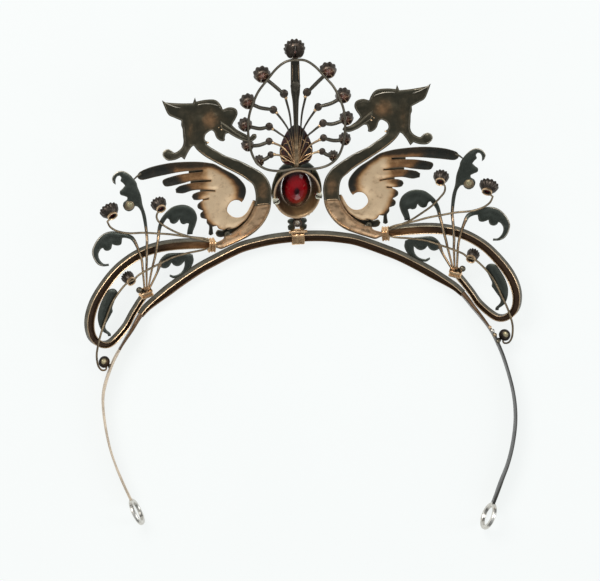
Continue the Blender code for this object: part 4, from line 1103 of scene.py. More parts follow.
def neck_shade(x, y, far):
    """1 on the copper tail, 0 on the dark neck, a little bronze on the head."""
    tail = 1 - rising(y, 12.2, 12.9)
    bronze = 0.4 * patch(x, y, (30, 43.5), (3.4, 3.4)) + 0.2 * patch(x, y, (37, 40), (1.6, 5))
    bronze = bronze + 0.3 * patch(x, y, (12.2, 18), (2.5, 4.5))
    hollow = 0.5 + 0.5 * rising(far, 0.3, 1.5)
    bump = 1 - rising(y - blended([(20, 3.9), (24, 2.6), (28, 1.6)], x), 0.1, 0.5) * rising(x, 23, 23.8)
    return tail * hollow * bump * (0.75 + 0.25 * rising(x, 14, 24)) + bronze + 0.1


def neck_relief(x, y, far):
    """The bowed tail, the brow and the ribs of the mane."""
    tail = 1 - rising(y, 11.6, 13.4)
    bow = -0.75 * tail * (1 - np.clip(1 - far / 2.4, 0, 1) ** 2) * rising(far, 0.5, 1.2)
    brow = 0.22 * np.exp(-(((y - blended(BROW, x)) / 0.45) ** 2))
    brow = brow * rising(x, 25, 27) * rising(far, 0.35, 0.6)
    mane = 0.24 * np.sin(x * 3.2 + 0.6 * np.sin(y * 0.8)) * rising(x, 33.8, 35) * rising(y, 33, 35)
    mane = mane * (1 - rising(y, 44, 46.5)) * rising(far, 0.5, 1.0)
    band = 0.24 * np.exp(-(((y - 12.9) / 0.35) ** 2)) * rising(far, 0.2, 0.5) * (x < 20)
    swell = bow + brow + mane + band
    for cx, cy, reach, high in BOSSES:
        swell = swell + high * np.clip(1 - ((x - cx) ** 2 + (y - cy) ** 2) / reach**2, 0, 1)
    return swell


print("tone of the tail's middle", round(float(neck_shade(12, 8, 2)), 2))

# %% Cut the dragons
for side, word in SIDES:
    dragon = sheet(
        DRAGON, DRAGON_THICK, lambda x, y: blended(DRAGON_LIFT, y), NECK_RIM, neck_relief, neck_shade,
        NECK_METAL, side, 0.3, 0.55,
    )
    for table, wide, look in LINES:
        rows = [(x, y, float(blended(DRAGON_LIFT, y)) + DRAGON_THICK + 0.06) for x, y in table]
        fade = [(0, 0.3), (0.2, 1), (0.8, 1), (1, 0.4)]
        wire(dragon, smoothed(rows, 0.3), wide, look, side, taper=fade, sides=8)
    for x, y, reach in NOSTRIL_GLINTS:
        ball(dragon, standing(side * x, y, 0.5), (reach, reach * 0.8, 0.35), RIM, 16, 0.6, 0.9)
    tongue = TONGUE if side > 0 else LEFT_TONGUE
    sheet(
        tongue, 0.5, level(0.35), NECK_RIM, rounded(0.2, 0.8), plain(0.12), NECK_METAL, side,
        0.3, 0.5, dragon,
    )
    dragon.made("dragon_sheet_" + word, "dragon_" + word, "gilded_silver", 50)

# %% [markdown]
# ## The leaves
#
# Scrolling leaves fill the space between wing and loops. Their lobes are small
# domes, and their stems are bowed and show rosy gold where fingers have rubbed
# them. They share the sheet's recipe, with a fuller relief.

# %% Outlines of the leaves
CREST_LEAF = [
    (54.2, -14.8), (53.9, -8), (53.5, -0.5), (53.2, 4), (53.4, 9), (53.8, 12.2), (54.7, 15.5),
    (55.2, 19), (56.2, 22), (56.6, 23.6), (58, 25.5), (60, 27.3), (62, 27.8), (64, 27), (65, 25.5),
    (64.7, 24), (63.8, 23.2), (63.8, 24.8), (63.2, 26), (62.3, 26.2), (61.8, 25.5), (62.1, 24.4),
    (61.3, 23.6), (60.6, 22.7), (61.5, 21.7), (62.5, 20.8), (62.3, 19.6), (61.1, 19.1),
    (60, 18.6), (60.1, 17.8), (61.3, 16.9), (61.6, 15.6), (60.9, 14.2), (59.5, 13.6), (58.1, 14.2),
    (57.4, 15.3), (56.5, 15), (55.4, 13.3), (54.6, 9), (54.2, 4), (54.5, -0.5), (54.7, -8),
    (54.8, -14.8),
]
INNER_LEAF = [
    (54.4, -14.8), (52.9, -8), (51.5, -2.4), (50.4, 2.6), (49.7, 7.1), (48.9, 9.4), (47.8, 11.1),
    (46, 12.9), (44, 14.2), (41, 14.7), (38.5, 14.1), (36.5, 12.5), (35.6, 10), (36.1, 7.5),
    (37.2, 5), (37.4, 4), (39.4, 4), (39.2, 5.5), (38.6, 7.8), (39.3, 8), (40.3, 7.7), (41.4, 8.2),
    (41.9, 9.6), (42.6, 8.7), (43.8, 8.1), (45, 8.5), (45.6, 9.8), (46.3, 10.2), (47.4, 8.7),
    (48.4, 6.9), (49.4, 2.4), (50.6, -2.6), (52.1, -8), (53.8, -14.8),
]
OUTER_LEAF = [
    (54.9, -14.8), (55.2, -8), (55.4, -4), (56.2, -1), (57, 1.7), (57.9, 3.9), (59.2, 5.3),
    (63, 6.4), (66, 7.1), (69, 6.4), (71.5, 4.2), (73.2, 1), (73, -1.6), (71.7, -4), (69.8, -5),
    (67.5, -5), (67.6, -4.2), (69.3, -4.1), (70.7, -2.5), (71, -0.5), (70, 1.2), (69.3, 1.4),
    (68.9, 0.7), (67.8, 0.3), (66.5, 0.9), (66, 2.5), (65.1, 2.1), (63.9, 1.9), (62.8, 2.4),
    (62.4, 4.4), (61.3, 4.4), (59.4, 3.6), (58.0, 1.3), (57.1, -1.2), (56.3, -4.1), (56.0, -8),
    (55.6, -14.8),
]
RAIL_LEAF = [
    (37.6, -3.2), (40, -2.4), (43, -2.2), (46.6, -2.2), (48.7, -3.5), (50.1, -5.7), (50.7, -8),
    (51.9, -10.4), (54.2, -14.6), (53.5, -14.8), (51.2, -10.8), (50.0, -8.6), (49.2, -6.9), (48.4, -7.3),
    (47.2, -7.4), (46, -6.7), (45.3, -5.6), (44.4, -6.6), (43, -7), (41.7, -6.5), (40.6, -5.4),
    (40.7, -7), (41.4, -8.6), (42.7, -9.7), (44.5, -10.2), (46, -9.7), (46.2, -10.4), (44.7, -11.2),
    (42.7, -10.7), (41.2, -9.9), (39.9, -9.1), (38.8, -8.3), (37.9, -7), (37.3, -5.2),
]
LOOP_LEAF = [
    (65.6, -13.5), (66.8, -13.1), (68.4, -13.6), (69.8, -15.6), (71.4, -18.6), (72.4, -22), (72.3, -25),
    (71.5, -27.3), (70.5, -28.4), (69.3, -29.2), (69.2, -29.9), (68.1, -29.9), (68.2, -28.9),
    (69.5, -27.6), (69.9, -26.6), (69.6, -25.4), (68.7, -24), (67.6, -22.2), (67, -21.2),
    (67.1, -19.9), (66.6, -18.6), (65.7, -16.6), (64.9, -14.8),
]
print("leaves of", [len(t) for t in (CREST_LEAF, INNER_LEAF, OUTER_LEAF, RAIL_LEAF, LOOP_LEAF)], "points")

# %% Heights, relief and finish of the leaves
# How far a stem is lifted over the loop, by y and by x
STEM_LIFT = [(-6.6, 0), (-4, 1), (2.8, 1), (5.4, 0)]
STEM_REACH = [(46, 0), (48.5, 1), (58.5, 1), (62, 0)]
LEAF_THICK = 0.8
LOOP_TOP = LOOP_DEPTH / 2 * math.cos(FLARE) + LOOP_WIDTH / 2 * math.sin(FLARE)
OVER_LOOP = LOOP_TOP + GAP
LOW = 0.1


def stem_height(x, y):
    """The stems climb over the loop and come down again."""
    return LOW + (OVER_LOOP - LOW) * blended(STEM_LIFT, y) * blended(STEM_REACH, x)


def leaf_relief(x, y, far):
    """A lobe: domed towards its middle, with a shallow dip in it."""
    return 0.34 * np.clip(far / 1.1, 0, 1) ** 1.3 - 0.1 * rising(far, 1.4, 2.4)


LEAF_TONES = [
    (0.0, tone(64, 69, 62)), (0.28, tone(86, 91, 84)), (0.5, tone(148, 122, 94)),
    (0.76, tone(226, 192, 156)), (1.0, tone(204, 116, 74)),
]
LEAF_METAL = tarnished(
    "leaf_silver", tone(48, 50, 46), None, tone(158, 154, 140), size=4.0, ramp=LEAF_TONES, edge=0.5,
    patches=(0.3, 0.7), relief=0.03,
)


def leaf_shade(x, y, far):
    """Stems with a peach ridge that grows red towards the tie, and dark heads."""
    stem = (1 - rising(y, 4, 9)) * rising(x, 48.5, 49.5) * (1 - rising(x, 57.5, 59))
    stem = stem * rising(far, 0.08, 0.36)
    red = 0.24 * (1 - rising(np.abs(y + 11), 1.2, 2.6))
    return 0.12 + (0.62 + red) * stem


LEAF_RIM = [(0, 0.26, 0.1), (0.13, 0.08, 0.4), (0.32, 0, 0.12), (0.7, 0, 0.0)]
# A light olive metal for the small dome laid on top of a boss or ball, which paints its highlight
DOME_HIGHLIGHT = tarnished(
    "olive_dome_highlight", tone(76, 70, 46), tone(146, 134, 94), tone(214, 202, 164), size=1.2, relief=0.03, metal=0.6,
)
print("a stem runs", round(float(stem_height(54, 0)), 2), "mm over the surface at the loop")

# %% Cut the leaves
# Ridges of the stems where the gilding is rubbed bright, columns (x, y)
RIDGES = {
    "crest_leaf": [(54.5, -14.4), (54.3, -8), (54.0, -0.5), (53.7, 4), (53.9, 8)],
    "inner_leaf": [(54.1, -14.4), (52.5, -8), (51.0, -2.5), (49.9, 2.6), (49.2, 6.2)],
    "outer_leaf": [(55.2, -14.4), (55.6, -8), (55.9, -4), (56.7, -1), (57.5, 1.6), (58.4, 3.5)],
    "rail_leaf": [(53.8, -14.5), (51.7, -10.8), (50.3, -7.8)],
}
# Painted highlights: light wires along the edges that catch the light, columns (x, y)
HIGHLIGHT_LINES = {
    "crest_leaf": [(58, 25.6), (60, 27.2), (62, 27.7), (63.9, 26.9), (64.9, 25.3), (64.4, 24.1)],
    "outer_leaf": [
        (66.4, 6.8), (69, 6.1), (71.4, 3.9), (72.9, 0.9), (72.7, -1.6), (71.4, -3.8), (69.8, -4.7),
    ],
}

# Outline, height of the lower side, and how much higher this leaf lies than that
LEAVES = {
    "crest_leaf": (CREST_LEAF, stem_height, 0.24), "inner_leaf": (INNER_LEAF, stem_height, 0.0),
    "outer_leaf": (OUTER_LEAF, stem_height, 0.12), "rail_leaf": (RAIL_LEAF, level(LOW), -0.12),
    "loop_leaf": (LOOP_LEAF, level(LOW), 0.0),
}


def along_leaf(name, table, above):
    """Rows of a wire that lies on a leaf, from rows of (x, y)."""
    height, over = LEAVES[name][1:]
    return [(x, y, float(height(x, y)) + over + LEAF_THICK + above) for x, y in table]


for side, word in SIDES:
    for name, (table, height, over) in LEAVES.items():
        leaf = sheet(
            table, LEAF_THICK, lambda x, y: height(x, y) + over, LEAF_RIM, leaf_relief, leaf_shade,
            LEAF_METAL, side, 0.3, 0.5,
        )
        if name == "crest_leaf":
            ball(leaf, standing(side * 59.4, 15.8, 1.0), (1.95, 1.95, 0.75), SPRAY_METAL, 32, 0.6, 0.5)
            # A smaller, lighter dome on the boss paints its highlight
            ball(leaf, standing(side * 59.3, 15.9, 1.35), (1.25, 1.25, 0.6), DOME_HIGHLIGHT, 24, 0.7, 0.9)
        if name in RIDGES:
            rows = smoothed(along_leaf(name, RIDGES[name], 0.05), 0.4)
            wire(leaf, rows, 0.52, TIE, side, taper=[(0, 1), (0.7, 0.9), (1, 0.3)], sides=8)
        if name in HIGHLIGHT_LINES:
            rows = smoothed(along_leaf(name, HIGHLIGHT_LINES[name], 0.08), 0.3)
            wire(leaf, rows, 0.46, BRIGHT_EDGE, side, taper=[(0, 0.3), (0.5, 1), (1, 0.5)], sides=8)
        leaf.made(f"{name}_sheet_{word}", f"{name}_{word}", "oxidised_silver", 50)

# %% [markdown]
# ## The flower sprays
#
# Thin wires branch off beside the ties and end in little fluted cups with a garnet
# in front, whose dark back shows in the cup's neck as a small disc. One long wire
# goes down beside the loop and curls round a ball. Wires are round profiles pushed
# along smoothed lines; the cups are rings round an axis, waved so that they get
# flutes and teeth.

# %% Lines of the wires
# Columns (x, y, what the wire clears: 0 nothing, 1 a leaf, 2 a leaf on a loop)
TALL_WIRE = [
    (31.6, 1.6, 0.8), (33.6, 2.3, 0.9), (37, 2.9, 1), (41, 3.6, 1.1), (45, 4.5, 1.3), (50, 5.2, 1.4),
    (55, 5.8, 1.4), (60, 6, 1.4), (64, 7, 1.2), (66.4, 8.6, 1), (67.4, 10.6, 1),
]
SHORT_WIRE = [
    (31.8, 1.0, 1), (34, 1.9, 1), (36.5, 2.8, 1), (39.6, 4.1, 1.1), (43.2, 6.3, 1.2), (46.6, 8.6, 1.2),
    (49.3, 11.2, 1.1), (51, 13.3, 0.9), (51.2, 15.3, 0.8),
]
LEFT_SHORT_WIRE = [
    (31.8, 1.0, 1), (34, 1.8, 1), (36.5, 2.6, 1), (39.6, 3.6, 1.1), (43, 5, 1.2), (46.4, 7, 1.2),
    (49.2, 9.2, 1.1), (50, 10.9, 0.9), (49.6, 12.4, 0.8),
]
LOW_WIRE = [
    (31.8, -1.2, 1.3), (34, -1.8, 1.45), (40, -2.6, 1.2), (45, -3.7, 1.1), (50, -5.7, 1.35),
    (54, -7.4, 1.35), (57.2, -9, 1.2), (59, -10.5, 1.1), (61.6, -11.6, 1), (65, -15.2, 1), (67.6, -19, 1),
    (70, -24.5, 1.1), (71.8, -29, 1.4), (73, -33, 1.45), (73.6, -36.3, 0.9), (73.3, -39.8, 0.4),
    (72.2, -41.6, 0.2), (70.9, -41.8, 0.1), (70.4, -41.3, 0), (70.3, -40, 0),
]
SCROLL_BALL_AT = (71, -38.9)
# Cups: x, y and reach of the neck, x, y and reach of the mouth, and what the neck clears
FLOWERS = {
    "tall": (65.4, 12.3, 1.3, 66.2, 14.4, 3.3, 1.0),
    "short": (49.6, 16.8, 1.2, 49.9, 18.1, 2.7, 0.8),
    "low": (59.8, -11.2, 1.2, 60.8, -9.7, 2.2, 1.1),
}
LEFT_SHORT_FLOWER = (48.2, 13.6, 1.2, 48.6, 15, 2.7, 0.8)
WIRE = 0.75
LEAF_TOP = LEAF_THICK + 0.1
OVER_LEAF = LEAF_TOP + GAP + WIRE * 0.6
OVER_BOTH = OVER_LOOP + LEAF_THICK + GAP + WIRE * 0.6
CLEARS = [(0, WIRE / 2), (1, OVER_LEAF), (2, OVER_BOTH)]
FLOWER_DEPTH = 3.6
print("wires run", [round(height, 2) for clear, height in CLEARS], "mm over the surface")


# %% A cut stone
FACET_ANGLE = 4


def cut_stone(name, axis, reach, depth, slot, finish, sides=12, oval=1.0):
    """A stone whose table faces the front, with a stepped back."""
    rows = [
        (0.05, 1.0), (0.4, 0.72), (0.72, 0.42), (0.93, 0.16), (1.0, 0.06), (1.0, -0.06), (0.84, -0.3),
        (0.6, -0.4),
    ]
    rings = [(reach * share, depth * high, 0) for share, high in rows]
    # Painted reflections: each ring of facets gets its own light level, and every other facet is darker
    painted_light = np.repeat([0.1, 0.3, 0.75, 1.0, 0.7, 0.7, 0.9, 0.9], sides) * np.tile([1.0, 0.4], 4 * sides)
    piece = turned(Piece(), axis, rings, finish, sides, oval=oval, shade=painted_light)
    return piece.made(name + "_cut", name, slot, FACET_ANGLE)


print("a stone's facets stay sharp above", FACET_ANGLE, "degrees")


# %% A fluted cup and its wire
def flower(piece, name, side, word, row):
    """A fluted cup, its stone, and the place where its wire ends."""
    bx, by, back_r, fx, fy, front_r, clear = row
    back = spot(side * bx, by, float(blended(CLEARS, clear)))
    front = spot(side * fx, fy) - upright(side * fx, fy) * FLOWER_DEPTH * 0.6
    out = (back - front).normalized()
    across = Vector((1, 0, 0)).cross(out).normalized()
    axis = Matrix.Translation(back) @ Matrix((across, out.cross(across), out)).transposed().to_4x4()
    wide = front_r - back_r
    rows = [
        (back_r - 0.1, -0.1, 0), (back_r, -0.3, 0.05), (back_r + wide * 0.55, -0.9, 0.3),
        (back_r + wide * 0.92, -1.9, 0.45), (front_r * 1.02, -2.8, 0.5), (front_r * 0.98, -3.4, 0.5),
        (front_r * 0.86, -3.35, 0.4), (front_r * 0.8, -2.7, 0.2), (back_r + wide * 0.4, -1.5, 0),
        (back_r - 0.35, -0.7, 0), (back_r - 0.35, -0.1, 0),
    ]
    edges = [0.3, 0.2, 0.2, 0.3, 0.2, 0.5, 0.2, 0, 0, 0, 0.2]
    turned(piece, axis, rows, CROWN_METAL, 104, 13, closed=True, edges=edges, shade=0.4)
    ring = back_r * 1.32
    lip = [(-0.3, 0), (-0.1, 0.2), (0.12, 0.16), (0.16, -0.4), (-0.2, -1.2)]
    lip = [(ring + off, high, 0) for off, high in lip]
    turned(piece, axis, lip, RIM, 40, closed=True, edges=[0.1, 0.9, 0.6, 0.0, 0], shade=0.6)
    shut = [(ring - 0.22, -0.75, 0), (ring - 0.22, -1.0, 0)]
    turned(piece, axis, shut, GARNET if name != "low" else HOLLOW, 20, shade=0.25)
    inner = front_r * 0.84 - 0.45 - GAP
    seat = axis @ Matrix.Translation((0, 0, -FLOWER_DEPTH + 0.5))
    cut_stone(f"{name}_flower_stone_{word}", seat, inner * 0.95, inner * 0.85, "garnet", GARNET, 12)
    return back, back_r


def sprig(piece, table, side, end=None):
    """A wire of a spray; end is the cup that it is soldered to."""
    rows = np.array([(x, y, float(blended(CLEARS, clear))) for x, y, clear in table])
    if end:
        back, reach = end
        last = np.array([side * back.x, back.y - MIDDLE, back.z - float(surface(back.x, back.y - MIDDLE))])
        way = rows[-1] - last
        rows = np.vstack([rows, last + way / np.linalg.norm(way) * (reach - 0.1)])
    ends = [(0, 0.75), (0.06, 1), (0.9, 1), (1, 0.8)]
    return wire(piece, smoothed(rows, 0.45), WIRE, SPRAY_METAL, side, taper=ends, shade=0.5)


print("cups are", FLOWER_DEPTH, "mm deep")

# %% Bend the sprays
for side, word in SIDES:
    short_wire, short_flower = SHORT_WIRE, FLOWERS["short"]
    if side < 0:
        short_wire, short_flower = LEFT_SHORT_WIRE, LEFT_SHORT_FLOWER
    upper = Piece()
    sprig(upper, TALL_WIRE, side, flower(upper, "tall", side, word, FLOWERS["tall"]))
    sprig(upper, short_wire, side, flower(upper, "short", side, word, short_flower))
    upper.made("upper_spray_wires_" + word, "upper_spray_" + word, "oxidised_silver")
    lower = Piece()
    flower(lower, "low", side, word, FLOWERS["low"])
    sprig(lower, LOW_WIRE, side)
    x, y = SCROLL_BALL_AT
    ball(lower, standing(side * x, y, 0.2), (2.15, 2.15, 1.5), CROWN_METAL, 32, 0.5, 0.35)
    # A smaller, lighter dome on the ball paints its highlight
    ball(lower, standing(side * (x + 0.1), y + 0.2, 1.35), (1.15, 1.15, 0.55), DOME_HIGHLIGHT, 24, 1.0, 0.9)
    ball(lower, standing(side * (x - 2.0), y - 1.7, 0.2), (0.85, 0.85, 0.7), WALL, 20, 0.4, 0.3)
    lower.made("lower_spray_wires_" + word, "lower_spray_" + word, "oxidised_silver")

# %% [markdown]
# ## The centre stone
#
# The large garnet sits in a deep oval collet that is open behind. From the back
# one looks past a bright rim down a brown wall to the stone, and a dark plate
# stands round it. Two slotted screws hold the plate. The collet is one closed skin
# of oval rings: down the outside, over the plate and up the inside again.

# %% Finishes of the collet, its plate and screws
# The collet's tones are picked by the painted light and shade mask of its wall
COLLET_TONES = [
    (0.0, tone(40, 31, 22)), (0.35, tone(78, 60, 40)), (0.7, tone(132, 106, 70)),
    (1.0, tone(190, 156, 112)),
]
COLLET = tarnished(
    "collet_gold", tone(54, 38, 24), None, tone(240, 204, 164), size=2.6, ramp=COLLET_TONES, edge=0.9,
    rough=(0.3, 0.5), metal=0.7, patches=(0.2, 0.5), stretch=(1, 0.6, 1),
)
PLATE = tarnished("plate_olive", tone(36, 37, 28), tone(72, 72, 54), tone(150, 140, 110), size=2.0)
SCREW = tarnished(
    "screw_metal", tone(150, 140, 108), tone(226, 220, 190), tone(250, 248, 232), size=0.8, metal=1.0,
    rough=(0.16, 0.32), relief=0.02,
)
print("collet", COLLET.name, "plate", PLATE.name, "screws", SCREW.name)

# %% The collet's skin
SETTING_BACK = 0.9
CENTRE_X, ROUND = 8.3, 10.0 / 8.3
# Down the outside, over the plate and up the inside, columns (reach past the oval, level, wear and painted
# highlight, oval)
COLLET_ROWS = [
    (-0.3, 0.9, 1.0, ROUND), (-0.08, 0.8, 1.0, ROUND), (0.0, 0.55, 0.2, ROUND), (-0.15, -1.3, 0.0, ROUND),
    (0.35, -1.6, 0.1, ROUND), (0.5, -1.75, 0.4, ROUND), (0.5, -2.4, 0.3, ROUND), (0.3, -2.7, 0.1, ROUND),
    (-0.7, -4.1, 0.1, ROUND), (-1.2, -4.4, 0.3, ROUND), (-2.7, -4.4, 0.3, 1.36), (-3.1, -4.1, 0.7, 1.44),
    (-3.1, -3.9, 0.3, 1.44), (-2.5, -2.6, 0.0, 1.36), (-1.8, -1.2, 0.0, 1.28), (-1.1, 0.1, 0.0, 1.22),
    (-0.75, 0.65, 0.1, ROUND), (-0.55, 0.85, 0.4, ROUND),
]
PLATE_ROWS = range(3, 8)
centre = Piece()
axis = standing(0, 16)
off, levels, edges, ovals = zip(*COLLET_ROWS)
rows = [(CENTRE_X + more, high, 0) for more, high in zip(off, levels)]
sides = 96
angle = 2 * np.pi * np.arange(sides) / sides
# Painted light and shade on the wall by its angle: dark at the upper left and olive gold at the bottom
painted_light = np.tile(0.26 - 0.34 * np.sin(angle) + 0.14 * np.cos(angle), len(rows))
skin = turned(Piece(), axis, rows, COLLET, sides, oval=ovals, closed=True)
looks = [PLATE if k // sides in PLATE_ROWS else COLLET for k in range(len(skin.faces))]
centre.add(skin.points[0], skin.faces, looks, np.repeat(edges, sides), painted_light)
print("collet of", len(rows), "rings")

# %% Shoulders, solder and screws
# Shoulders of the plate behind the collet, and beads of solder on its wall
SHOULDERS = [
    (5.4, 22.4), (5.6, 24.0), (6.8, 23.8), (8.0, 21.4), (8.7, 18.6), (8.8, 16.2), (8.2, 15.4), (7.2, 18.2),
    (6.4, 20.8),
]
for side in (1, -1):
    sheet(SHOULDERS, 0.6, level(-1.6), PLAIN_RIM, plain(0.0), plain(0.3), PLATE, side, 0.4, 0.6, centre)
for x, y, high in ((2.7, 7.6, 0.2), (4.0, 8.2, 0.1), (5.2, 9.2, 0.1)):
    ball(centre, standing(x, y, high), (0.4, 0.34, 0.3), SCREW, 14, 1, 0.9)
for side, (x, y) in ((1, (7.5, 14.7)), (-1, (-7.4, 13.8))):
    head = standing(x, y, 0.9, -0.5 * side)
    rings = [
        (1.3, -0.6, 0), (1.34, 0.1, 0), (1.22, 0.42, 0), (0.85, 0.6, 0), (0.35, 0.68, 0), (0.03, 0.69, 0),
    ]
    turned(centre, head, rings, SCREW, 28, edges=[0, 0.3, 1, 0.6, 0.4, 0.4], shade=0.9)
    # The slot is a dark bar laid over the head: painted shade in place of a cut groove
    corners = [(-1.25, -0.16), (1.25, -0.16), (1.25, 0.16), (-1.25, 0.16)]
    points = [head @ Vector((a, b, h)) for h in (0.3, 0.71) for a, b in corners]
    centre.add(points, ring_faces(2, 4), HOLLOW, 0.0, 0.0)
centre.made("centre_collet", "centre_setting", "red_gold")

# %% The garnet
# Columns (share of the reach, share of the depth, facet's painted light: a dark culet and girdle with bright
# rings between, in place of reflections)
girdle = axis @ Matrix.Translation((0, 0, -3.55))
rows = [
    (0.04, 1.0, 0.0), (0.15, 0.96, 0.1), (0.26, 0.88, 0.75), (0.5, 0.7, 1.0), (0.7, 0.47, 0.85),
    (0.82, 0.3, 0.1), (0.92, 0.14, 0.05), (1.0, 0.05, 0.0), (1.0, -0.05, 0.1), (0.86, -0.22, 0.6),
    (0.62, -0.3, 0.9),
]
rings = [(5.15 * share, 2.6 * high, 0) for share, high, light_level in rows]
painted_facet_light = np.repeat([light_level for share, high, light_level in rows], 20)
garnet = turned(Piece(), girdle, rings, GARNET, 20, oval=1.48, shade=painted_facet_light)
garnet.made("centre_garnet", "centre_stone", "garnet", FACET_ANGLE)

# %% [markdown]
# ## The link below the centre
#
# Between centre and rail sits a small clear stone in a claw cup, with a dark leaf
# on each side of it that belongs to the front. The cup is turned like the flower
# cups, and the leaves are two small pieces of sheet soldered to it.

# %% Link cup and stone
# Below the centre by half the collet, a gap and half the cup
LINK_Y = 16 - (10 + 0.55 + 1.7) * math.cos(FLARE)
link_axis = standing(0, LINK_Y)
link = Piece()
rows = [
    (1.5, 0.5, 0), (1.62, 0.3, 0.2), (1.66, -0.6, 0.5), (1.7, -1.4, 0.9), (1.45, -1.4, 0.8),
    (1.15, -0.6, 0), (1.2, 0.4, 0),
]
edges = [1, 0.6, 0.1, 0.4, 0.4, 0, 0.9]
turned(link, link_axis, rows, CROWN_METAL, 64, 8, closed=True, edges=edges, shade=0.5)
# The leaf beside the cup, columns (x, y over the cup's middle)
LOBES = [
    (0.9, 1.5), (2.2, 1.7), (3.3, 1.2), (3.4, 0.3), (2.7, -0.3), (3.4, -1.0), (3.2, -2.3), (1.8, -2.7),
    (0.8, -1.8),
]
lobes = [(x, LINK_Y + y) for x, y in LOBES]
for side in (1, -1):
    sheet(lobes, 0.5, level(-1.1), PLAIN_RIM, leaf_relief, plain(0.1), LEAF_METAL, side, 0.3, 0.5, link)
link.made("link_cup", "link_setting", "red_gold")
seat = link_axis @ Matrix.Translation((0, 0, -0.2))
cut_stone("link_stone", seat, 1.12, 0.8, "pale_stone", CLEAR_STONE, 10)

# %% [markdown]
# ## The palmette
#
# Behind the fan's foot lies a small leaf of dark red enamel. Thin gold wires part
# it into petals, as cloisons do. Painted lines would not stand up from the
# glass, so the petals are drawn with real wires on a slightly domed leaf.

# %% Enamelled leaf with gold cell wires
PALMETTE = [
    (0, 40.4), (1.8, 39.2), (3.3, 37.6), (4.7, 35), (5.7, 32), (5.7, 29.4), (4.9, 27.3), (3.4, 26.2),
    (0, 25.8),
]
BAR_THICK, PALMETTE_THICK = 0.8, 0.8
PALMETTE_LOW = -(BAR_THICK / 2 + GAP + PALMETTE_THICK)
outline = PALMETTE + [(-x, y) for x, y in PALMETTE[-2:0:-1]]
palmette = sheet(
    outline, PALMETTE_THICK, level(PALMETTE_LOW), PLAIN_RIM, rounded(0.16, 2.5), plain(0.5), ENAMEL, 1,
    0.3, 0.45,
)
# Where the walls between the petals end, and the petals' tips, columns (x, y)
WALLS = [(1.0, 34.2), (3.0, 33.8), (4.6, 32.0), (5.2, 29.8), (4.6, 27.6)]
TIPS = [(2.1, 34.9), (4.2, 33.6), (5.4, 31.2), (5.4, 28.6)]
CELL_HEIGHT = PALMETTE_LOW + PALMETTE_THICK + 0.18
# The dark flange at the foot and the gold column up the middle, columns (x, y)
PALMETTE_FLANGE = [(1.2, 24.5), (1.8, 25.9), (3.4, 26.7), (4.6, 26.4), (6.3, 24.9), (5.4, 24.5), (3, 24.3)]
COLUMN = [
    (0.6, 25.2), (0.8, 28), (0.5, 31), (0.3, 34.5), (-0.3, 34.5), (-0.5, 31), (-0.8, 28), (-0.6, 25.2),
]
for side in (1, -1):
    for k, (x, y) in enumerate(WALLS):
        foot, end = np.array([0.6, 26.2]), np.array([x, y])
        way = end - foot
        middle = foot + way * 0.5 + np.array([-way[1], way[0]]) * (0.02 + 0.035 * k)
        rows = [(*foot, CELL_HEIGHT), (*middle, CELL_HEIGHT + 0.02), (*end, CELL_HEIGHT - 0.04)]
        wire(palmette, smoothed(rows, 0.3, corner=180), 0.27, TIE, side, sides=7, shade=0.5)
        if k:
            rows = [(*WALLS[k - 1], -0.04), (*TIPS[k - 1], -0.08), (*end, -0.04)]
            rows = [(a, b, CELL_HEIGHT + off) for a, b, off in rows]
            wire(palmette, smoothed(rows, 0.3), 0.25, TIE, side, sides=7, shade=0.5)
    sheet(
        PALMETTE_FLANGE, 0.5, level(PALMETTE_LOW), PLAIN_RIM, leaf_relief, plain(0.05), LEAF_METAL, side,
        0.3, 0.5, palmette,
    )
sheet(
    COLUMN, 0.35, level(CELL_HEIGHT - 0.2), PLAIN_RIM, rounded(0.2, 0.5), plain(0.6), RIM, 1,
    0.3, 0.4, palmette,
)
palmette.made("palmette_enamel", "palmette", "red_enamel", 45)

# %% [markdown]
# ## The fan
#
# A broad bar rises from the palmette to a round finial, and five stems on each side
# end in buds, from which short bars go on to toothed settings with small brown
# stones. The settings are turned cups, the buds are drops with a gilt collar, and
# the bar is sheet with a ridge along it, all soldered together into one frame.

# %% Places and finish of the fan
# Setting's x, y and reach, bud's x, y and reach, then the bar's and the stem's points
FAN = [
    (11.4, 57.4, 3.0, 4.0, 50.9, 1.5, [(4.3, 51), (7.3, 53.8)], [(1.6, 38.5), (2.2, 44), (3.7, 50.2)]),
    (16.5, 48.5, 2.8, 7.8, 45.6, 1.4, [(8.1, 45.7), (12.1, 46.5)], [(2.4, 37.5), (4.2, 41), (7, 44.8)]),
    (17.6, 40.6, 2.5, 9.4, 39.9, 1.4, [(9.7, 39.8), (12.6, 39.4)], [(3.4, 35), (6.2, 37.6), (8.6, 39.3)]),
    (16.9, 33.5, 2.2, 9.5, 34.8, 1.3, [(9.8, 34.6), (12.8, 33.7)], [(3.8, 31.5), (5.6, 33), (8.6, 34.4)]),
    (12.9, 27.9, 1.8, 9.0, 30.1, 1.2, [(9.2, 29.9), (10.4, 29)], [(3.2, 27.9), (5.6, 29.6), (8.2, 30.1)]),
]
CENTRE_BAR = [(1.5, 62.6), (1.6, 52), (1.1, 48), (0.8, 40), (0.7, 25.4)]
FAN_TONES = [
    (0.0, tone(44, 43, 38)), (0.35, tone(68, 66, 58)), (0.7, tone(150, 116, 84)),
    (1.0, tone(220, 190, 148)),
]
FAN_BAR_METAL = tarnished(
    "fan_bar_silver", tone(52, 46, 38), None, tone(150, 138, 120), size=1.8, ramp=FAN_TONES, edge=0.5,
)
STEM, BAR = 0.7, 1.35
FINIAL = (0, 65.3, 3.7)


def gilt_below(y, low=31.5, high=38):
    """Gilding is left on the lower ends of the stems."""
    return 0.3 + 0.66 * (1 - rising(y, low, high))


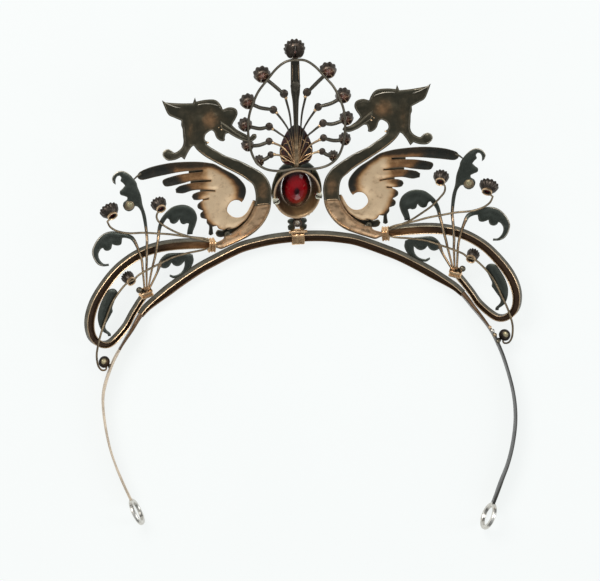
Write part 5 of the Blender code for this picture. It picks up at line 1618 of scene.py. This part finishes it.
print("fan of", 2 * len(FAN) + 1, "settings, the gilding's tone at its foot", float(gilt_below(26)))

# %% A toothed setting with claws
CLAWS = 5


def cup(piece, axis, reach, teeth):
    """A toothed setting, wide to the front and open at both ends."""
    rows = [
        (reach * 0.7, 0.9, 0), (reach * 0.78, 0.7, 0.1), (reach * 0.88, 0.1, 0.3),
        (reach * 0.97, -0.9, 0.5), (reach * 0.98, -1.6, 0.55), (reach * 0.86, -1.6, 0.4),
        (reach * 0.72, -0.8, 0.1), (reach * 0.64, 0.0, 0), (reach * 0.62, 0.85, 0),
    ]
    edges = [0.8, 0.5, 0.1, 0.1, 0.3, 0.3, 0.0, 0.0, 0.6]
    turned(piece, axis, rows, FAN_METAL, 8 * teeth, teeth, closed=True, edges=edges, shade=0.4)
    # Thin claws run from the back edge over the stone, in light finishes that paint glints across it
    out = np.array(axis.to_3x3().col[2])
    for k in range(CLAWS):
        way = 2 * math.pi * k / CLAWS + 0.5
        spots = [
            axis @ Vector((share * reach * math.cos(way), share * reach * math.sin(way), high))
            for share, high in ((0.7, 0.85), (0.45, 0.5), (0.2, 0.6))
        ]
        points, faces = pushed(np.array(spots), np.tile(out, (3, 1)), round_profile([0.14, 0.11, 0.07], 6))
        piece.add(points, faces, BRIGHT_EDGE if k % 2 else RIM, 0.5, 0.5)


print("each setting has", CLAWS, "claws")

# %% The middle bar and the finial
fan = Piece()
outline = CENTRE_BAR + [(-x, y) for x, y in CENTRE_BAR[::-1]]
# Bright lines on the finial and the bar, the first a painted glint down the finial: points (x, y, height),
# width and finish
MIDDLE_LINE = [(0.15, 61.6, 0.45), (0.2, 56, 0.5), (0.1, 50, 0.5), (0.1, 40, 0.5), (0.1, 30, 0.5)]
BAR_LINES = [
    ([(-0.2, 67.6, 1.5), (0.1, 66.4, 1.4), (-0.1, 65, 1.4)], 0.3, END_SILVER),
    (MIDDLE_LINE, 0.34, RING_METAL),
    ([(-0.9, 60.6, 0.4), (-1.0, 55.4, 0.42)], 0.24, RIM),
    ([(1.0, 60.6, 0.4), (1.1, 55.4, 0.42)], 0.24, RIM),
]


def bar_relief(x, y, far):
    """A ridge along the bar and a groove on each side of it."""
    groove = 0.12 * np.exp(-(((np.abs(x) - 0.85) / 0.2) ** 2)) * rising(y, 48, 51)
    return (0.2 * np.exp(-((x / 0.35) ** 2)) - groove) * rising(far, 0.05, 0.3)


sheet(
    outline, BAR_THICK, level(-BAR_THICK / 2), PLAIN_RIM, bar_relief,
    lambda x, y, far: gilt_below(y, 32, 40), FAN_BAR_METAL, 1, 0.4, 0.35, fan,
)
ball(fan, standing(0, 53.3), (1.75, 2.3, 0.85), FAN_BAR_METAL, 28, 0.4, 0.3)
cup(fan, standing(*FINIAL[:2]), FINIAL[2], 14)
# The finial's two lobes behind its stone
for side in (1, -1):
    ball(fan, standing(side * 1.5, FINIAL[1], 0.4), (1.75, 3.0, 0.8), FAN_METAL, 28, 0.25, 0.3)
for table, wide, look in BAR_LINES:
    wire(fan, smoothed(table, 0.4), wide, look, taper=[(0, 0.4), (0.5, 1), (1, 0.5)], sides=8)
print("bar and finial have", len(fan.faces), "faces")

# %% Stems, buds and settings
settings = [("fan_stone_top", *FINIAL)]
for side, word in SIDES:
    for k, (x, y, reach, bud_x, bud_y, bud_r, bar, stem) in enumerate(FAN, 1):
        settings.append((f"fan_stone_{word}_{k}", side * x, y, reach))
        cup(fan, standing(side * x, y), reach, 9)
        ball(fan, standing(side * bud_x, bud_y), (bud_r, bud_r * 1.15, 0.72), FAN_METAL, 24, 0.35, 0.3)
        down = np.array(stem[-1]) - np.array([bud_x, bud_y])
        down = down / np.linalg.norm(down)
        collar = np.array([bud_x, bud_y]) + down * bud_r * 1.05
        ball(fan, standing(side * collar[0], collar[1]), (0.62, 0.62, 0.6), RIM, 16, 0.5, 0.9)
        heart = np.array([x, y])
        last = np.array(bar[-1])
        end = heart + (last - heart) / np.linalg.norm(last - heart) * reach * 0.72
        rows = smoothed([(a, b, 0.12) for a, b in bar] + [(*end, 0.12)], 0.35)
        wire(fan, rows, BAR, FAN_BAR_METAL, side, taper=[(0, 0.8), (0.3, 1), (1, 1)], shade=0.3)
        rows = smoothed([(a, b, 0.04) for a, b in [(0.3, 26.3)] + stem], 0.4)
        gilt = np.repeat(gilt_below(rows[:, 1]), 10)
        growing = [(0, 0.45), (0.5, 0.8), (1, 1.3)]
        wire(fan, rows, STEM, FAN_BAR_METAL, side, taper=growing, sides=10, shade=gilt)
        # The stem's foot, where the gilding is whole, runs over the enamel
        foot = rows[rows[:, 1] < 36.5] + np.array([0, 0, 0.2])
        wire(fan, foot, 0.34, TIE, side, taper=[(0, 0.8), (0.6, 1), (1, 0.5)], sides=8)
fan.made("fan_frame_work", "fan_frame", "oxidised_silver", 45)
for name, x, y, reach in settings:
    inner = reach * 0.76
    seat = standing(x, y) @ Matrix.Translation((0, 0, -0.95))
    cut_stone(name, seat, inner, inner * 0.72, "small_stones", BROWN_STONE, 12)

# %% [markdown]
# ## The wire ring
#
# An egg-shaped ring of round wire lies behind the fan and is soldered to its
# settings. It is one closed line, pushed along with a round profile.

# %% Ring
OVAL = [
    (0, 62.1), (3.4, 61.7), (6.7, 59.5), (10, 55.8), (13, 52.2), (15, 48.2), (16.4, 44.2), (16.9, 39.5),
    (16.6, 34.8), (15.6, 30.5), (13.8, 27.3), (10.9, 25.2), (7, 24.3), (3, 24.5), (0, 24.9),
]
RING_WIRE = 0.9
RING_HEIGHT = (SETTING_BACK + GAP + RING_WIRE / 2) / math.cos(FLARE)
whole = OVAL + [(-x, y) for x, y in OVAL[-2:0:-1]]
rows = smoothed([(x, y, RING_HEIGHT) for x, y in whole], 0.6, True)
ring = wire(Piece(), rows, RING_WIRE, RING_METAL, closed=True, sides=16)
ring.made("oval_wire", "oval_ring", "worn_silver")

# %% [markdown]
# ## Floor, light and camera
#
# The tiara lies on a pale table in soft light from all sides, and hardly casts a
# shadow. One lamp would cast a hard one, so a bright sky does most of the work and
# two broad lamps add the glints. The table itself glows a little, as a light table
# does, which also lets light through the stones. The camera looks straight down
# with a long lens, a few degrees from the left.

# %% Pale table
floor_look = Finish(
    "pale_table", Roughness=0.8, IOR=1.2, Emission_Color=tone(250, 253, 252), Emission_Strength=0.855,
)
soft = floor_look.cloud(60, 2.0)
floor_look.set(Base_Color=floor_look.mix(soft, tone(92, 93, 93), tone(98, 99, 99)))
table = bpy.data.meshes.new("table")
far = 2.5
table.from_pydata([(-far, -far, 0), (far, -far, 0), (far, far, 0), (-far, far, 0)], [], [(0, 1, 2, 3)])
table.materials.append(floor_look.material)
floor = bpy.data.objects.new("table", table)
bpy.context.scene.collection.objects.link(floor)
print("table is", 2 * far, "m wide")

# %% Sky and lamps
sky = bpy.data.worlds.new("studio")
bpy.context.scene.world = sky
dome = Finish("sky", sky, "Background", Strength=0.62)
up = dome.node("ShaderNodeSeparateXYZ", {}, {0: dome.node("ShaderNodeTexCoord")}, out=2)
stops = [
    (0.0, tone(120, 122, 124)), (0.42, tone(150, 153, 156)), (0.7, tone(235, 241, 247)),
    (1.0, tone(255, 255, 255)),
]
dome.set(Color=dome.node("ShaderNodeValToRGB", {"stops": stops}, {"Fac": up}))


def lamp(name, place, size, power, colour):
    """A broad lamp that shines on the middle of the table."""
    light = bpy.data.lights.new(name, "AREA")
    light.shape = "RECTANGLE"
    light.size, light.size_y = size
    light.energy = power
    light.color = colour
    made = bpy.data.objects.new(name, light)
    made.location = place
    made.rotation_euler = (Vector((0, 0, 0)) - Vector(place)).to_track_quat("-Z", "Y").to_euler()
    bpy.context.scene.collection.objects.link(made)
    print(name, "of", power, "W")


lamp("broad_lamp", (-0.45, 0.55, 0.9), (0.7, 0.5), 9, (1.0, 0.98, 0.95))
lamp("side_lamp", (0.8, -0.1, 0.5), (0.3, 0.9), 3, (0.95, 0.98, 1.0))

# %% Camera
CAMERA_AWAY, LENS = 1.5, 255.8
TURN, ELEVATION, ROLL = math.radians(-115.46), math.radians(84.98), math.radians(-3.62)
AIM = Vector((-0.77, 0.79, 8.0)) * MM
back_way = Vector((
    math.sin(TURN) * math.cos(ELEVATION), -math.cos(TURN) * math.cos(ELEVATION), math.sin(ELEVATION)
))
right_way = Vector((0, 1, 0)).cross(back_way).normalized()
up_way = back_way.cross(right_way)
right_way, up_way = (
    math.cos(ROLL) * right_way + math.sin(ROLL) * up_way,
    math.cos(ROLL) * up_way - math.sin(ROLL) * right_way,
)
lens = bpy.data.cameras.new("camera")
lens.sensor_width = 36
lens.lens = LENS
lens.clip_end = 20
camera = bpy.data.objects.new("camera", lens)
turn = Matrix((right_way, up_way, back_way)).transposed().to_4x4()
camera.matrix_world = Matrix.Translation(AIM + back_way * CAMERA_AWAY) @ turn
bpy.context.scene.collection.objects.link(camera)
bpy.context.scene.camera = camera
bpy.context.scene.view_settings.view_transform = "Standard"
print("camera", CAMERA_AWAY, "m away")

# %% Count the triangles of the finished tiara
bpy.context.view_layer.update()
meshes = [thing.data for thing in bpy.data.objects if thing.type == "MESH"]
print("triangles", sum(len(face.vertices) - 2 for mesh in meshes for face in mesh.polygons))
